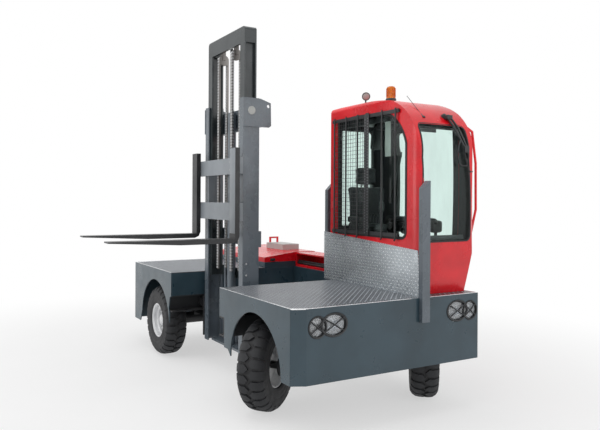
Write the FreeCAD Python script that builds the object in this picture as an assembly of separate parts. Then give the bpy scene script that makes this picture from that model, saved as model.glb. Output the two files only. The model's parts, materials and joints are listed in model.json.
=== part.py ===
"""Side-loading fork truck: one STEP file for each sub-part, in millimetres.

Vehicle datum while modelling: x = 0 at the front face and +x forward, y = 0 at the fork-side
face and +y to the vehicle's left, z = 0 on the ground. Every shape is moved at the end so that
the origin lies on the ground under the centre of the whole machine's box.
"""
import FreeCAD
import Part
import math
import os

V = FreeCAD.Vector
X_AXIS, Y_AXIS, Z_AXIS = V(1, 0, 0), V(0, 1, 0), V(0, 0, 1)

# ---------------------------------------------------------------- driving dimensions
BODY_W = 2030.0            # width of both platform boxes
DECK_Z = 1073.0            # top of the platforms
FRONT_LEN = 1380.0         # front box
WELL_LEN = 1345.0          # mast well between the boxes
REAR_LEN = 1385.0          # rear box
FRONT_UNDER = 462.0        # underside of the front box
REAR_UNDER = 322.0         # underside of the rear box
PLATE = 12.0               # body plate
DECK_PLATE = 10.0          # checker plate
DECK_SEAM = 2.0            # gap round a deck plate
CORNER_X, CORNER_Y = 57.0, 119.0   # chamfer of the fork-side front corner

TYRE_R, TYRE_W = 420.0, 262.0
RIM_R = 203.0              # bead seat
WHEEL_INSET = 18.0         # tyre's outer face inboard of the body side
FRONT_OVERHANG = 664.0     # front face to the steer axle
REAR_OVERHANG = 815.0      # tail to the drive axle
KINGPIN_OFFSET = 256.0     # kingpin axis to the wheel's middle plane
STEER_RIGHT, STEER_LEFT = -54.0, -40.0   # wheel angles as parked, minus is to the right

MAST_W = 980.0
MAST_FRONT_Y = 380.0       # fork-side face of the mast as parked
RAIL_DEPTH = 190.0
MAST_FOOT_Z = 290.0
OUTER_LEN = 2715.0
INNER_LEN = 2710.0
INNER_RAISED = 760.0       # inner mast's foot above the outer one's, as parked
FORK_FACE_Y = 250.0        # load face of the fork shanks
FORK_LEN = 1300.0
FORK_T = 50.0
FORK_W = 135.0
FORK_SPREAD = 1150.0       # over both forks
FORK_UNDER_Z = 1485.0
FORK_H = 982.0

CAB_W = 705.0
CAB_OUT = 15.0             # how far the cab's left wall bows past the body side
CAB_NOSE_BACK = 45.0       # front face of the body to the foremost place of the cab
CAB_REAR_OVER = 40.0       # cab's back wall behind the front box
CAB_WALL = 42.0
CAB_H = 1852.0             # cab above the platform
SKIRT_OVER = 146.0         # skirt's rear end behind the front box
SKIRT_T = 8.0

# ---------------------------------------------------------------- stations from those sizes
FRONT_REAR_X = -FRONT_LEN
REAR_FRONT_X = -(FRONT_LEN + WELL_LEN)
TAIL_X = -(FRONT_LEN + WELL_LEN + REAR_LEN)
FRONT_AXLE_X = -FRONT_OVERHANG
REAR_AXLE_X = TAIL_X + REAR_OVERHANG
CAB_LEFT_Y = BODY_W + CAB_OUT
CAB_SIDE_Y = CAB_LEFT_Y - CAB_W            # cab wall on the fork side
CAB_REAR_X = FRONT_REAR_X - CAB_REAR_OVER
CAB_NOSE_X = -CAB_NOSE_BACK
CAB_TOP_Z = DECK_Z + CAB_H
SKIRT_REAR_X = FRONT_REAR_X - SKIRT_OVER
MAST_X = (SKIRT_REAR_X + REAR_FRONT_X) / 2     # middle of the free passage beside the cab
WHEEL_Y_RIGHT = WHEEL_INSET + TYRE_W / 2
WHEEL_Y_LEFT = BODY_W - WHEEL_Y_RIGHT
KING_Y_RIGHT = WHEEL_Y_RIGHT + KINGPIN_OFFSET
KING_Y_LEFT = WHEEL_Y_LEFT - KINGPIN_OFFSET
DECK_UNDER_Z = DECK_Z - DECK_PLATE

FORK_TOP_Z = FORK_UNDER_Z + FORK_H
OUTER_TOP_Z = MAST_FOOT_Z + OUTER_LEN
INNER_FOOT_Z = MAST_FOOT_Z + INNER_RAISED
INNER_TOP_Z = INNER_FOOT_Z + INNER_LEN

RUN = 0.3                  # clearance of a shaft in its bore
MOVE_GAP = 6.0             # clearance between pieces that slide past each other

# ---------------------------------------------------------------- helpers


def box(x0, x1, y0, y1, z0, z1):
    """Box between pairs of stations, given in either order."""
    return Part.makeBox(abs(x1 - x0), abs(y1 - y0), abs(z1 - z0),
                        V(min(x0, x1), min(y0, y1), min(z0, z1)))


def rod(radius, start, end):
    """Round bar between two points."""
    start, end = V(*start), V(*end)
    return Part.makeCylinder(radius, (end - start).Length, start, end - start)


def fuse(*solids):
    """One solid from touching ones, with no seams left."""
    first, rest = solids[0], list(solids[1:])
    return first.fuse(rest).removeSplitter() if rest else first


def wire(edges):
    return Part.Wire(Part.__sortEdges__(edges))


def prism_xz(edges, y0, y1):
    """Closed outline in the x-z plane, extruded from y0 to y1."""
    face = Part.Face(wire(edges))
    face.translate(V(0, y0, 0))
    return face.extrude(V(0, y1 - y0, 0))


def polygon(points):
    corners = [V(*p) for p in points]
    return [Part.LineSegment(a, b).toShape() for a, b in zip(corners, corners[1:] + corners[:1])]


def plate_xz(points, y0, y1):
    """Plate from (x, z) corners, extruded along y."""
    return prism_xz(polygon([(x, 0, z) for x, z in points]), y0, y1)


def plate_yz(points, x0, x1):
    """Plate from (y, z) corners, extruded along x."""
    face = Part.Face(wire(polygon([(0, y, z) for y, z in points])))
    face.translate(V(x0, 0, 0))
    return face.extrude(V(x1 - x0, 0, 0))


def plate_xy(points, z0, z1):
    """Plate from (x, y) corners, extruded along z."""
    face = Part.Face(wire(polygon([(x, y, 0) for x, y in points])))
    face.translate(V(0, 0, z0))
    return face.extrude(V(0, 0, z1 - z0))


def mirrored_y(shape, plane_y):
    """Mirror image in the plane y = plane_y."""
    return shape.mirror(V(0, plane_y, 0), Y_AXIS)


def mirrored_x(shape, plane_x):
    """Mirror image in the plane x = plane_x."""
    return shape.mirror(V(plane_x, 0, 0), X_AXIS)


def both_mast_sides(shape):
    """A piece of the near mast side and its twin on the far side."""
    return [shape, mirrored_x(shape, MAST_X)]


def turned(shape, centre, degrees):
    """Copy turned about a vertical axis through centre."""
    copy = shape.copy()
    copy.rotate(V(*centre), Z_AXIS, degrees)
    return copy


def compound(*solids):
    return Part.makeCompound(list(solids))


# ---------------------------------------------------------------- platform boxes

ARCH_R_FRONT, ARCH_Z_FRONT = TYRE_R + 45, TYRE_R + 60
ARCH_R_REAR, ARCH_Z_REAR = TYRE_R + 92, TYRE_R
GUIDE_H = 190.0
GUIDE_Z1 = DECK_Z - 273.0
GUIDE_Z0 = GUIDE_Z1 - GUIDE_H      # mast guide channels under the boxes' edges
GUIDE_DEPTH = 110.0
GUIDE_WALL = 14.0
LUG_Z = FRONT_UNDER + 54.0                          # foot of the front side plate behind its wheel
FRONT_GUIDE_X = FRONT_REAR_X + GUIDE_DEPTH
REAR_GUIDE_X = REAR_FRONT_X - GUIDE_DEPTH

STAKE_W, STAKE_T = 90.0, 50.0
STAKE_Y = CAB_SIDE_Y - 40.0
STAKE_FOOT_Z = DECK_Z - 213.0
STAKE_TOP_Z = DECK_Z + 1037.0
STAKE_SINK = 12.0                      # how far the front stake sits into the front plate
STAKE_SLOT_SIDE = 60.0                 # free slot beside the stake, towards the fork side

LAMP_BIG_Y, LAMP_SMALL_Y, LAMP_Z = 387.0, 224.0, DECK_Z - 148.0
LAMP_BIG_A, LAMP_BIG_B = 135.0, 100.0  # half axes of the large bezel
LAMP_SMALL_R = 92.0
LAMP_DEPTH = 70.0
LAMP_INSET = 4.0
LAMP_FIT = 1.0

SIDE_FRAME_Y = BODY_W - 350.0                  # inner face of the left frame's upper box
SIDE_FRAME_UNDER = DECK_Z - 243.0
SIDE_SILL_Y = BODY_W - 100.0                   # inner face of its lower sill
SIDE_SILL_UNDER = FRONT_UNDER


def front_side_plate():
    """Fork-side plate of the front box with its wheel arch."""
    arch = ARCH_R_FRONT
    plate = plate_xz([(FRONT_REAR_X, DECK_Z), (-CORNER_X, DECK_Z), (-CORNER_X, FRONT_UNDER),
                      (FRONT_AXLE_X - arch, FRONT_UNDER), (FRONT_AXLE_X - arch - 60, LUG_Z),
                      (FRONT_GUIDE_X, LUG_Z), (FRONT_GUIDE_X, GUIDE_Z1), (FRONT_REAR_X, GUIDE_Z1)],
                     0, PLATE)
    hole = fuse(rod(arch, (FRONT_AXLE_X, -PLATE, ARCH_Z_FRONT), (FRONT_AXLE_X, 2 * PLATE, ARCH_Z_FRONT)),
                box(FRONT_AXLE_X - arch, FRONT_AXLE_X + arch, -PLATE, 2 * PLATE,
                    FRONT_UNDER - PLATE, ARCH_Z_FRONT))
    return plate.cut(hole)


def front_sides():
    right = front_side_plate()
    left = mirrored_y(right, BODY_W / 2)
    left = left.fuse(box(-CORNER_X, 0, BODY_W - PLATE, BODY_W, FRONT_UNDER, DECK_Z)).removeSplitter()
    return compound(right, left)


def lamp_outline(grow):
    """Figure-of-eight prism through the front plate for one lamp pair on the fork side."""
    ellipse = Part.Ellipse(V(0, 0, 0), LAMP_BIG_A + grow, LAMP_BIG_B + grow)
    face = Part.Face(Part.Wire(ellipse.toShape()))
    big = face.extrude(V(0, 0, LAMP_DEPTH))
    big.rotate(V(0, 0, 0), V(1, 1, 1), 120)
    big.translate(V(-LAMP_DEPTH, LAMP_BIG_Y, LAMP_Z))
    small = rod(LAMP_SMALL_R + grow, (-LAMP_DEPTH, LAMP_SMALL_Y, LAMP_Z - 7), (0, LAMP_SMALL_Y, LAMP_Z - 7))
    return big.fuse(small).removeSplitter()


def both_lamp_pairs(grow):
    pair = lamp_outline(grow)
    return [pair, mirrored_y(pair, (LAMP_BIG_Y + LAMP_MIRROR_Y) / 2)]


LAMP_MIRROR_Y = BODY_W - 267.0         # large lamp on the left half


def front_walls():
    """Front plate with the chamfered corner, and the wall over the mast guide."""
    t = PLATE
    nose = plate_xy([(-CORNER_X, 0), (0, CORNER_Y), (0, BODY_W - PLATE), (-t, BODY_W - PLATE),
                     (-t, CORNER_Y + t / 3), (-CORNER_X, t * 1.1)], FRONT_UNDER, DECK_Z)
    for lamps in both_lamp_pairs(LAMP_FIT):
        cutter = lamps.copy()
        cutter.translate(V(PLATE, 0, 0))
        nose = nose.cut(lamps).cut(cutter)
    nose = nose.cut(box(-STAKE_SINK, PLATE, STAKE_Y - STAKE_SLOT_SIDE, STAKE_Y + STAKE_W + 1,
                        STAKE_FOOT_Z - 1, DECK_Z + 1).cut(
                            box(-STAKE_SINK, PLATE, STAKE_Y - STAKE_SLOT_SIDE - 1, STAKE_Y - 1,
                                STAKE_FOOT_Z - 1, DECK_Z + 1)))
    wall = box(FRONT_REAR_X, FRONT_REAR_X + t, t, BODY_W - t, GUIDE_Z1, DECK_UNDER_Z)
    return compound(nose, wall)


def front_deck():
    s = DECK_SEAM
    return plate_xy([(FRONT_REAR_X, PLATE), (-CORNER_X - s, PLATE + s), (-PLATE - s, CORNER_Y + s),
                     (-PLATE, BODY_W - PLATE), (FRONT_REAR_X, BODY_W - PLATE)], DECK_UNDER_Z, DECK_Z)


def rear_side_plate():
    arch = ARCH_R_REAR
    plate = plate_xz([(TAIL_X, DECK_Z), (REAR_FRONT_X, DECK_Z), (REAR_FRONT_X, GUIDE_Z1),
                      (REAR_FRONT_X - 45, GUIDE_Z1 - 20), (REAR_FRONT_X - 80, GUIDE_Z1 - 160),
                      (REAR_AXLE_X + arch, GUIDE_Z1 - 200), (REAR_AXLE_X + arch, REAR_UNDER), (TAIL_X, REAR_UNDER)],
                     0, PLATE)
    hole = fuse(rod(arch, (REAR_AXLE_X, -PLATE, ARCH_Z_REAR), (REAR_AXLE_X, 2 * PLATE, ARCH_Z_REAR)),
                plate_xz([(REAR_AXLE_X - arch - 70, REAR_UNDER - 1), (REAR_AXLE_X - arch + 4, ARCH_Z_REAR + 60),
                          (REAR_AXLE_X + arch + 9, ARCH_Z_REAR + 60), (REAR_AXLE_X + arch + 9, REAR_UNDER - 1)],
                         -PLATE, 2 * PLATE))
    return plate.cut(hole)


def rear_sides():
    right = rear_side_plate()
    return compound(right, mirrored_y(right, BODY_W / 2))


def rear_walls():
    """Wall over the mast guide, and the tail plate."""
    t = PLATE
    wall = box(REAR_FRONT_X - t, REAR_FRONT_X, t, BODY_W - t, GUIDE_Z1, DECK_UNDER_Z)
    tail = box(TAIL_X, TAIL_X + t, t, BODY_W - t, REAR_UNDER, DECK_UNDER_Z)
    return compound(wall, tail)


HOOD_Y0 = BODY_W - 780.0                       # fork-side edge of the engine hood
HOOD_LEFT_GAP = 20.0
COAMING_H = 66.0
COAMING_W = 30.0
HOOD_SEAT = 0.3


def rear_deck():
    s = DECK_SEAM
    return box(TAIL_X, REAR_FRONT_X, PLATE, HOOD_Y0 - s, DECK_UNDER_Z, DECK_Z)


def hood_coaming():
    """Raised frame round the engine opening, on the rear box."""
    outer = box(TAIL_X, REAR_FRONT_X, HOOD_Y0, BODY_W - PLATE, DECK_UNDER_Z, DECK_Z + COAMING_H)
    inner = box(TAIL_X + COAMING_W, REAR_FRONT_X - COAMING_W, HOOD_Y0 + COAMING_W,
                BODY_W - PLATE - COAMING_W, 0, DECK_Z + 2 * COAMING_H)
    return compound(outer.cut(inner), *[hood_hinge(x, "lugs") for x in HOOD_HINGE_X])


def side_frame():
    """Left frame box that joins the two platforms, with its lower sill."""
    x0, x1 = REAR_FRONT_X, FRONT_REAR_X
    return compound(box(x0, x1, SIDE_FRAME_Y, BODY_W, SIDE_FRAME_UNDER, DECK_Z),
                    box(x0, x1, SIDE_SILL_Y, BODY_W, SIDE_SILL_UNDER, SIDE_FRAME_UNDER))


BEAM_W, BEAM_H = 120.0, 110.0
BEAM_Z1 = GUIDE_Z0
BEAM_Z0 = BEAM_Z1 - BEAM_H
FRONT_BEAM_Y = (720.0, BODY_W - 840.0)
REAR_BEAM_Y = (500.0, BODY_W - 600.0)


def chassis_beams():
    """Longitudinal beams under both platforms."""
    beams = []
    for y in FRONT_BEAM_Y:
        beams.append(box(FRONT_REAR_X, -PLATE, y, y + BEAM_W, BEAM_Z0, BEAM_Z1))
        beams.append(box(FRONT_GUIDE_X, FRONT_GUIDE_X + BEAM_W, y, y + BEAM_W, BEAM_Z1, DECK_UNDER_Z))
    for y in REAR_BEAM_Y:
        beams.append(box(TAIL_X + PLATE, REAR_FRONT_X, y, y + BEAM_W, BEAM_Z0, BEAM_Z1))
        beams.append(box(REAR_GUIDE_X - BEAM_W, REAR_GUIDE_X, y, y + BEAM_W, BEAM_Z1, DECK_UNDER_Z))
    return compound(*beams)


def guide_channel(y0):
    """Channel on the front box, open towards the well."""
    outer = box(FRONT_REAR_X, FRONT_GUIDE_X, y0, SIDE_SILL_Y, GUIDE_Z0, GUIDE_Z1)
    inner = box(FRONT_REAR_X - 1, FRONT_GUIDE_X - GUIDE_WALL, -1, SIDE_SILL_Y + 1,
                GUIDE_Z0 + GUIDE_WALL, GUIDE_Z1 - GUIDE_WALL)
    return outer.cut(inner)


def mast_guides():
    middle = (FRONT_REAR_X + REAR_FRONT_X) / 2
    return compound(guide_channel(0), mirrored_x(guide_channel(PLATE), middle))


# ---------------------------------------------------------------- axles and wheels

AXLE_Z = TYRE_R
BEAM_SECTION = 60.0                    # half size of the steer axle beam
KING_R = 25.0
EAR_R, EAR_T = 58.0, 40.0
KNUCKLE_R, KNUCKLE_H = 52.0, 150.0
SPINDLE_R = 35.0
HUB_R = 95.0
RIM_T = 10.0
TUBE_R = 70.0
DIFF_R = 185.0
DIFF_Y = BODY_W / 2 - 30


def steer_axle():
    """Steer axle beam with a yoke at each kingpin and pads up to the front beams."""
    reach = EAR_R + 12
    solids = [box(FRONT_AXLE_X - BEAM_SECTION, FRONT_AXLE_X + BEAM_SECTION,
                  KING_Y_RIGHT + reach, KING_Y_LEFT - reach, AXLE_Z - BEAM_SECTION, AXLE_Z + BEAM_SECTION)]
    ear_gap = KNUCKLE_H / 2 + RUN
    for king_y, inward in ((KING_Y_RIGHT, 1), (KING_Y_LEFT, -1)):
        for side in (-1, 1):
            z0 = AXLE_Z + side * ear_gap
            z1 = z0 + side * EAR_T
            solids.append(rod(EAR_R, (FRONT_AXLE_X, king_y, z0), (FRONT_AXLE_X, king_y, z1)))
            solids.append(box(FRONT_AXLE_X - EAR_R, FRONT_AXLE_X + EAR_R, king_y,
                              king_y + inward * (reach + 60), z0, z1))
        solids.append(box(FRONT_AXLE_X - EAR_R, FRONT_AXLE_X + EAR_R, king_y + inward * reach,
                          king_y + inward * (reach + 60), AXLE_Z - ear_gap - EAR_T,
                          AXLE_Z + ear_gap + EAR_T))
    for y in FRONT_BEAM_Y:
        solids.append(box(FRONT_AXLE_X - BEAM_SECTION, FRONT_AXLE_X + BEAM_SECTION, y, y + BEAM_W,
                          AXLE_Z, BEAM_Z0))
    axle = fuse(*solids)
    for king_y in (KING_Y_RIGHT, KING_Y_LEFT):
        axle = axle.cut(rod(KING_R + RUN, (FRONT_AXLE_X, king_y, AXLE_Z - 200), (FRONT_AXLE_X, king_y, AXLE_Z + 200)))
    return axle


def knuckle(king_y, outward, angle):
    """Steering knuckle with its kingpin and wheel spindle, turned to its parked angle."""
    half = KNUCKLE_H / 2
    pin_end = half + EAR_T + 8
    hub_face = king_y + outward * (KINGPIN_OFFSET + 20)
    body = fuse(
        rod(KNUCKLE_R, (FRONT_AXLE_X, king_y, AXLE_Z - half), (FRONT_AXLE_X, king_y, AXLE_Z + half)),
        rod(KING_R, (FRONT_AXLE_X, king_y, AXLE_Z - pin_end), (FRONT_AXLE_X, king_y, AXLE_Z + pin_end)),
        rod(SPINDLE_R, (FRONT_AXLE_X, king_y, AXLE_Z), (FRONT_AXLE_X, hub_face, AXLE_Z)),
        rod(HUB_R, (FRONT_AXLE_X, king_y + outward * 95, AXLE_Z), (FRONT_AXLE_X, king_y + outward * 120, AXLE_Z)),
        rod(SPINDLE_R + 20, (FRONT_AXLE_X, king_y, AXLE_Z), (FRONT_AXLE_X, king_y + outward * 100, AXLE_Z)))
    return turned(body, (FRONT_AXLE_X, king_y, 0), angle)


def revolved(profile, axis_x, axis_y, axis_z):
    """Solid of revolution about a line along y; profile holds (y, radius) corners."""
    face = Part.Face(wire(polygon([(0, y, r) for y, r in profile])))
    solid = face.revolve(V(0, 0, 0), Y_AXIS, 360)
    solid.translate(V(axis_x, axis_y, axis_z))
    return solid


def tyre(axis_x, wheel_y):
    half, r = TYRE_W / 2, TYRE_R
    profile = [(-half * 0.78, RIM_R), (half * 0.78, RIM_R), (half, RIM_R + 45), (half, r - 55),
               (half * 0.86, r - 12), (half * 0.6, r), (-half * 0.6, r), (-half * 0.86, r - 12),
               (-half, r - 55), (-half, RIM_R + 45)]
    return revolved(profile, axis_x, wheel_y, AXLE_Z)


def rim(axis_x, wheel_y, outward):
    """Wheel rim with a dished disc and a hub that runs on the spindle."""
    half = TYRE_W / 2
    seat = RIM_R - 0.0
    bore = SPINDLE_R + RUN
    inner = seat - RIM_T
    o = outward
    profile = [(-o * half * 0.78, seat), (-o * half * 0.78, inner), (o * 0.0, inner), (-o * 10, bore + 60),
               (-o * 40, bore + 60), (-o * 40, bore), (o * 28, bore), (o * 28, 0.0), (o * 52, 0.0), (o * 52, bore + 20),
               (o * 22, bore + 48), (o * 14, bore + 60), (o * 20, inner - 12), (o * 60, inner),
               (o * half * 0.78, inner), (o * half * 0.78, seat)]
    return revolved(profile, axis_x, wheel_y, AXLE_Z)


def rear_axle():
    """Drive axle tube with its differential, spindles and pads to the rear beams."""
    end_right = WHEEL_Y_RIGHT + TYRE_W / 2 + 30
    end_left = WHEEL_Y_LEFT - TYRE_W / 2 - 30
    spindle_out = 20
    x, z = REAR_AXLE_X, AXLE_Z
    solids = [rod(TUBE_R, (x, end_right, z), (x, end_left, z)),
              rod(SPINDLE_R, (x, WHEEL_Y_RIGHT - spindle_out, z), (x, WHEEL_Y_LEFT + spindle_out, z)),
              rod(HUB_R, (x, end_right - 25, z), (x, end_right, z)),
              rod(HUB_R, (x, end_left, z), (x, end_left + 25, z)),
              rod(DIFF_R, (x, DIFF_Y - 90, z), (x, DIFF_Y + 90, z))]
    for y in REAR_BEAM_Y:
        solids.append(box(x - BEAM_SECTION, x + BEAM_SECTION, y, y + BEAM_W, z, BEAM_Z0))
    return fuse(*solids)


# ---------------------------------------------------------------- cab

CAB_FLOOR_T = 20.0
BELT_Z = DECK_Z + 472.0
WINDOW_TOP_Z = CAB_TOP_Z - 285.0
CAB_CORNER_R = 95.0
GLASS_T = 6.0
DOOR_X0, DOOR_X1 = CAB_REAR_X + 240.0, CAB_NOSE_X - 170.0
DOOR_Z0, DOOR_Z1 = DECK_Z + 47.0, CAB_TOP_Z - 185.0
DOOR_GAP = 6.0
DOOR_FRAME = 70.0
HINGE_R, HINGE_PIN_R, HINGE_H = 14.0, 8.0, 50.0
DOOR_HINGE_Y = CAB_LEFT_Y + HINGE_R
DOOR_HINGE_Z = (DOOR_Z0 + 260.0, DOOR_Z1 - 300.0)
ROOF_SEAM_Z = CAB_TOP_Z - 130.0        # panel seams
FRONT_SEAM_X = DOOR_X1 + 20.0
LEFT_SEAM_IN = 120.0
SEAT_H, SEAT_W = 300.0, 470.0
SEAT_X, SEAT_Y = CAB_REAR_X + 440.0, (CAB_SIDE_Y + CAB_LEFT_Y) / 2 + 8


def cab_side_outline(inset):
    """Cab seen from the side: leaning nose, one large arc into the crowned roof."""
    i = inset
    floor_z = DECK_Z + i * 0
    foot = V(CAB_NOSE_X - 95 - i, 0, floor_z)
    belt = V(CAB_NOSE_X - 5 - i, 0, BELT_Z)
    chest = V(CAB_NOSE_X - i, 0, CAB_TOP_Z - 975)
    brow = V(CAB_NOSE_X - 22 - i, 0, CAB_TOP_Z - 595)
    curve = V(CAB_NOSE_X - 125 - i, 0, CAB_TOP_Z - 235 - i * 0.4)
    roof_front = V(CAB_NOSE_X - 400, 0, CAB_TOP_Z - 42 - i)
    crown = V((CAB_NOSE_X + CAB_REAR_X) / 2 - 100, 0, CAB_TOP_Z - i)
    roof_rear = V(CAB_REAR_X + i, 0, CAB_TOP_Z - 16 - i)
    rear_foot = V(CAB_REAR_X + i, 0, floor_z)
    return [Part.LineSegment(foot, belt).toShape(),
            Part.Arc(belt, chest, brow).toShape(),
            Part.Arc(brow, curve, roof_front).toShape(),
            Part.Arc(roof_front, crown, roof_rear).toShape(),
            Part.LineSegment(roof_rear, rear_foot).toShape(),
            Part.LineSegment(rear_foot, foot).toShape()]


def cab_front_outline(inset):
    """Cab seen from the front: straight fork side, rounded top, bowed left side."""
    i = inset
    right = CAB_SIDE_Y + i
    top = CAB_TOP_Z - i
    r = 60.0
    big_r = 190.0
    k = 1 - math.sqrt(0.5)
    left_low = V(0, CAB_LEFT_Y - 50 - i, DECK_Z)
    left_mid = V(0, CAB_LEFT_Y - i, CAB_TOP_Z - 1025)
    left_high = V(0, CAB_LEFT_Y - 20 - i, top - big_r)
    roof_left = V(0, CAB_LEFT_Y - 20 - i - big_r, top)
    corner = V(0, CAB_LEFT_Y - 20 - i - big_r * k, top - big_r * k)
    roof_right = V(0, right + r, top)
    right_high = V(0, right, top - r)
    right_corner = V(0, right + r * k, top - r * k)
    right_low = V(0, right, DECK_Z)
    return [Part.Arc(left_low, left_mid, left_high).toShape(),
            Part.Arc(left_high, corner, roof_left).toShape(),
            Part.LineSegment(roof_left, roof_right).toShape(),
            Part.Arc(roof_right, right_corner, right_high).toShape(),
            Part.LineSegment(right_high, right_low).toShape(),
            Part.LineSegment(right_low, left_low).toShape()]


def cab_plan(inset):
    """Cab seen from above, with rounded front corners."""
    i = inset
    plan = box(CAB_REAR_X + i, CAB_NOSE_X + 5 - i, CAB_SIDE_Y + i, CAB_LEFT_Y + 5 - i, DECK_Z, CAB_TOP_Z + 5)
    corners = [e for e in plan.Edges if abs(e.tangentAt(e.FirstParameter).z) > 0.9
               and e.CenterOfMass.x > CAB_REAR_X + CAB_CORNER_R]
    return plan.makeFillet(max(CAB_CORNER_R - i, 20), corners)


def cab_form(inset):
    side = prism_xz(cab_side_outline(inset), CAB_SIDE_Y - 50, CAB_LEFT_Y + 50)
    face = Part.Face(wire(cab_front_outline(inset)))
    face.translate(V(CAB_REAR_X - 50, 0, 0))
    front = face.extrude(V(CAB_NOSE_X - CAB_REAR_X + 100, 0, 0))
    return side.common(front).common(cab_plan(inset))


def rounded_prism(axis, a0, a1, b0, b1, c0, c1, radius):
    """Box with its edges along one axis rounded; a, b, c are the x, y and z stations."""
    block = box(a0, a1, b0, b1, c0, c1)
    picks = [e for e in block.Edges if abs(getattr(e.tangentAt(e.FirstParameter), axis)) > 0.9]
    return block.makeFillet(radius, picks)


FORK_WINDOW = (CAB_REAR_X + 75, CAB_NOSE_X - 187, BELT_Z + 45, CAB_TOP_Z - 135)             # x0, x1, z0, z1
SCREEN = (CAB_SIDE_Y + 52, CAB_LEFT_Y - 80)                                                # y0, y1
REAR_WINDOW = (CAB_SIDE_Y + 90, CAB_LEFT_Y - 145, BELT_Z + 105, CAB_TOP_Z - 225)            # y0, y1, z0, z1


def fork_window_cutter(grow=0.0):
    x0, x1, z0, z1 = FORK_WINDOW
    g = grow
    opening = rounded_prism("y", x0 - g, x1 + g, CAB_SIDE_Y - 100, CAB_SIDE_Y + 120, z0 - g, z1 + g, 60)
    return opening.common(prism_xz(cab_side_outline(150 - g), CAB_SIDE_Y - 101, CAB_SIDE_Y + 121))


def screen_cutter():
    y0, y1 = SCREEN
    return rounded_prism("x", CAB_NOSE_X - 420, CAB_NOSE_X + 100, y0, y1, BELT_Z + 20, WINDOW_TOP_Z, 45)


def rear_window_cutter():
    y0, y1, z0, z1 = REAR_WINDOW
    return rounded_prism("x", CAB_REAR_X - 50, CAB_REAR_X + 120, y0, y1, z0, z1, 50)


def door_block(shrink):
    s = shrink
    return rounded_prism("y", DOOR_X0 + s, DOOR_X1 - s, CAB_LEFT_Y - 130, CAB_LEFT_Y + 60,
                         DOOR_Z0 + s, DOOR_Z1 - s, 60)


def cab_skin():
    return cab_form(0).cut(cab_form(CAB_WALL))


def cab_shell():
    """Cab panels with the windows and the door opening cut: floor, roof, rear, fork side, left and front."""
    floor = cab_form(CAB_WALL).common(box(CAB_REAR_X, CAB_NOSE_X, CAB_SIDE_Y, CAB_LEFT_Y,
                                          DECK_Z, DECK_Z + CAB_FLOOR_T))
    shell = cab_skin().cut(fork_window_cutter()).cut(screen_cutter()).cut(rear_window_cutter()).cut(door_block(0))
    far = 100
    x0, x1 = CAB_REAR_X - far, CAB_NOSE_X + far
    y0, y1 = CAB_SIDE_Y - far, CAB_LEFT_Y + far
    z0, z1 = DECK_Z - far, CAB_TOP_Z + far
    regions = [box(x0, x1, y0, y1, ROOF_SEAM_Z, z1),
               box(x0, CAB_REAR_X + CAB_WALL, y0, y1, z0, z1),
               box(x0, FRONT_SEAM_X, y0, CAB_SIDE_Y + CAB_WALL, z0, z1),
               box(x0, FRONT_SEAM_X, CAB_LEFT_Y - LEFT_SEAM_IN, y1, z0, z1)]
    panels = [floor]
    for region in regions:
        panels += shell.common(region).Solids
        shell = shell.cut(region)
    hinges = [door_hinge_lugs(z) for z in DOOR_HINGE_Z]
    return compound(*panels, *shell.Solids, *hinges)


def glass_layer():
    """Thin layer in the middle of the cab wall."""
    mid = CAB_WALL / 2
    return cab_form(mid - GLASS_T / 2).cut(cab_form(mid + GLASS_T / 2))


def cab_glass():
    """Windscreen, fork-side pane and rear pane."""
    layer = glass_layer()
    panes = [layer.common(cutter) for cutter in (screen_cutter(), fork_window_cutter(), rear_window_cutter())]
    return compound(*[p.Solids[0] if len(p.Solids) == 1 else max(p.Solids, key=lambda s: s.Volume) for p in panes])


def door_window_cutter():
    f = DOOR_FRAME
    return rounded_prism("y", DOOR_X0 + f, DOOR_X1 - f, CAB_LEFT_Y - 140, CAB_LEFT_Y + 60,
                         BELT_Z - 80, DOOR_Z1 - f, 50)


def door_hinge_lugs(z):
    """Pin and its two lugs on the cab wall, at height z."""
    lugs = []
    for side in (-1, 1):
        z0, z1 = z + side * (HINGE_H / 2 + 2), z + side * (HINGE_H / 2 + 40)
        lugs.append(rod(HINGE_R, (DOOR_X0, DOOR_HINGE_Y, z0), (DOOR_X0, DOOR_HINGE_Y, z1)))
        lugs.append(box(DOOR_X0 - 60, DOOR_X0, CAB_LEFT_Y - 70, DOOR_HINGE_Y + 6, z0, z1))
    pin = rod(HINGE_PIN_R, (DOOR_X0, DOOR_HINGE_Y, z - HINGE_H / 2 - 30), (DOOR_X0, DOOR_HINGE_Y, z + HINGE_H / 2 + 30))
    return fuse(*lugs, pin).cut(cab_form(0)).cut(door_block(-1))


def door_hinge_strap(z):
    """Strap and barrel on the door, at height z."""
    z0, z1 = z - HINGE_H / 2, z + HINGE_H / 2
    strap = box(DOOR_X0, DOOR_X0 + 80, CAB_LEFT_Y - 70, DOOR_HINGE_Y + 6, z0, z1).cut(cab_form(0))
    barrel = rod(HINGE_R, (DOOR_X0, DOOR_HINGE_Y, z0), (DOOR_X0, DOOR_HINGE_Y, z1))
    bore = rod(HINGE_PIN_R + RUN, (DOOR_X0, DOOR_HINGE_Y, z0 - 1), (DOOR_X0, DOOR_HINGE_Y, z1 + 1))
    return strap.fuse(barrel).cut(cab_form(0)).cut(bore)


def cab_door():
    """Door leaf with its window cut and its hinge barrels."""
    leaf = cab_skin().common(door_block(DOOR_GAP))
    leaf = max(leaf.Solids, key=lambda s: s.Volume).cut(door_window_cutter())
    return fuse(leaf, *[door_hinge_strap(z) for z in DOOR_HINGE_Z])


def door_glass():
    pane = glass_layer().common(door_window_cutter())
    return max(pane.Solids, key=lambda s: s.Volume)


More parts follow.
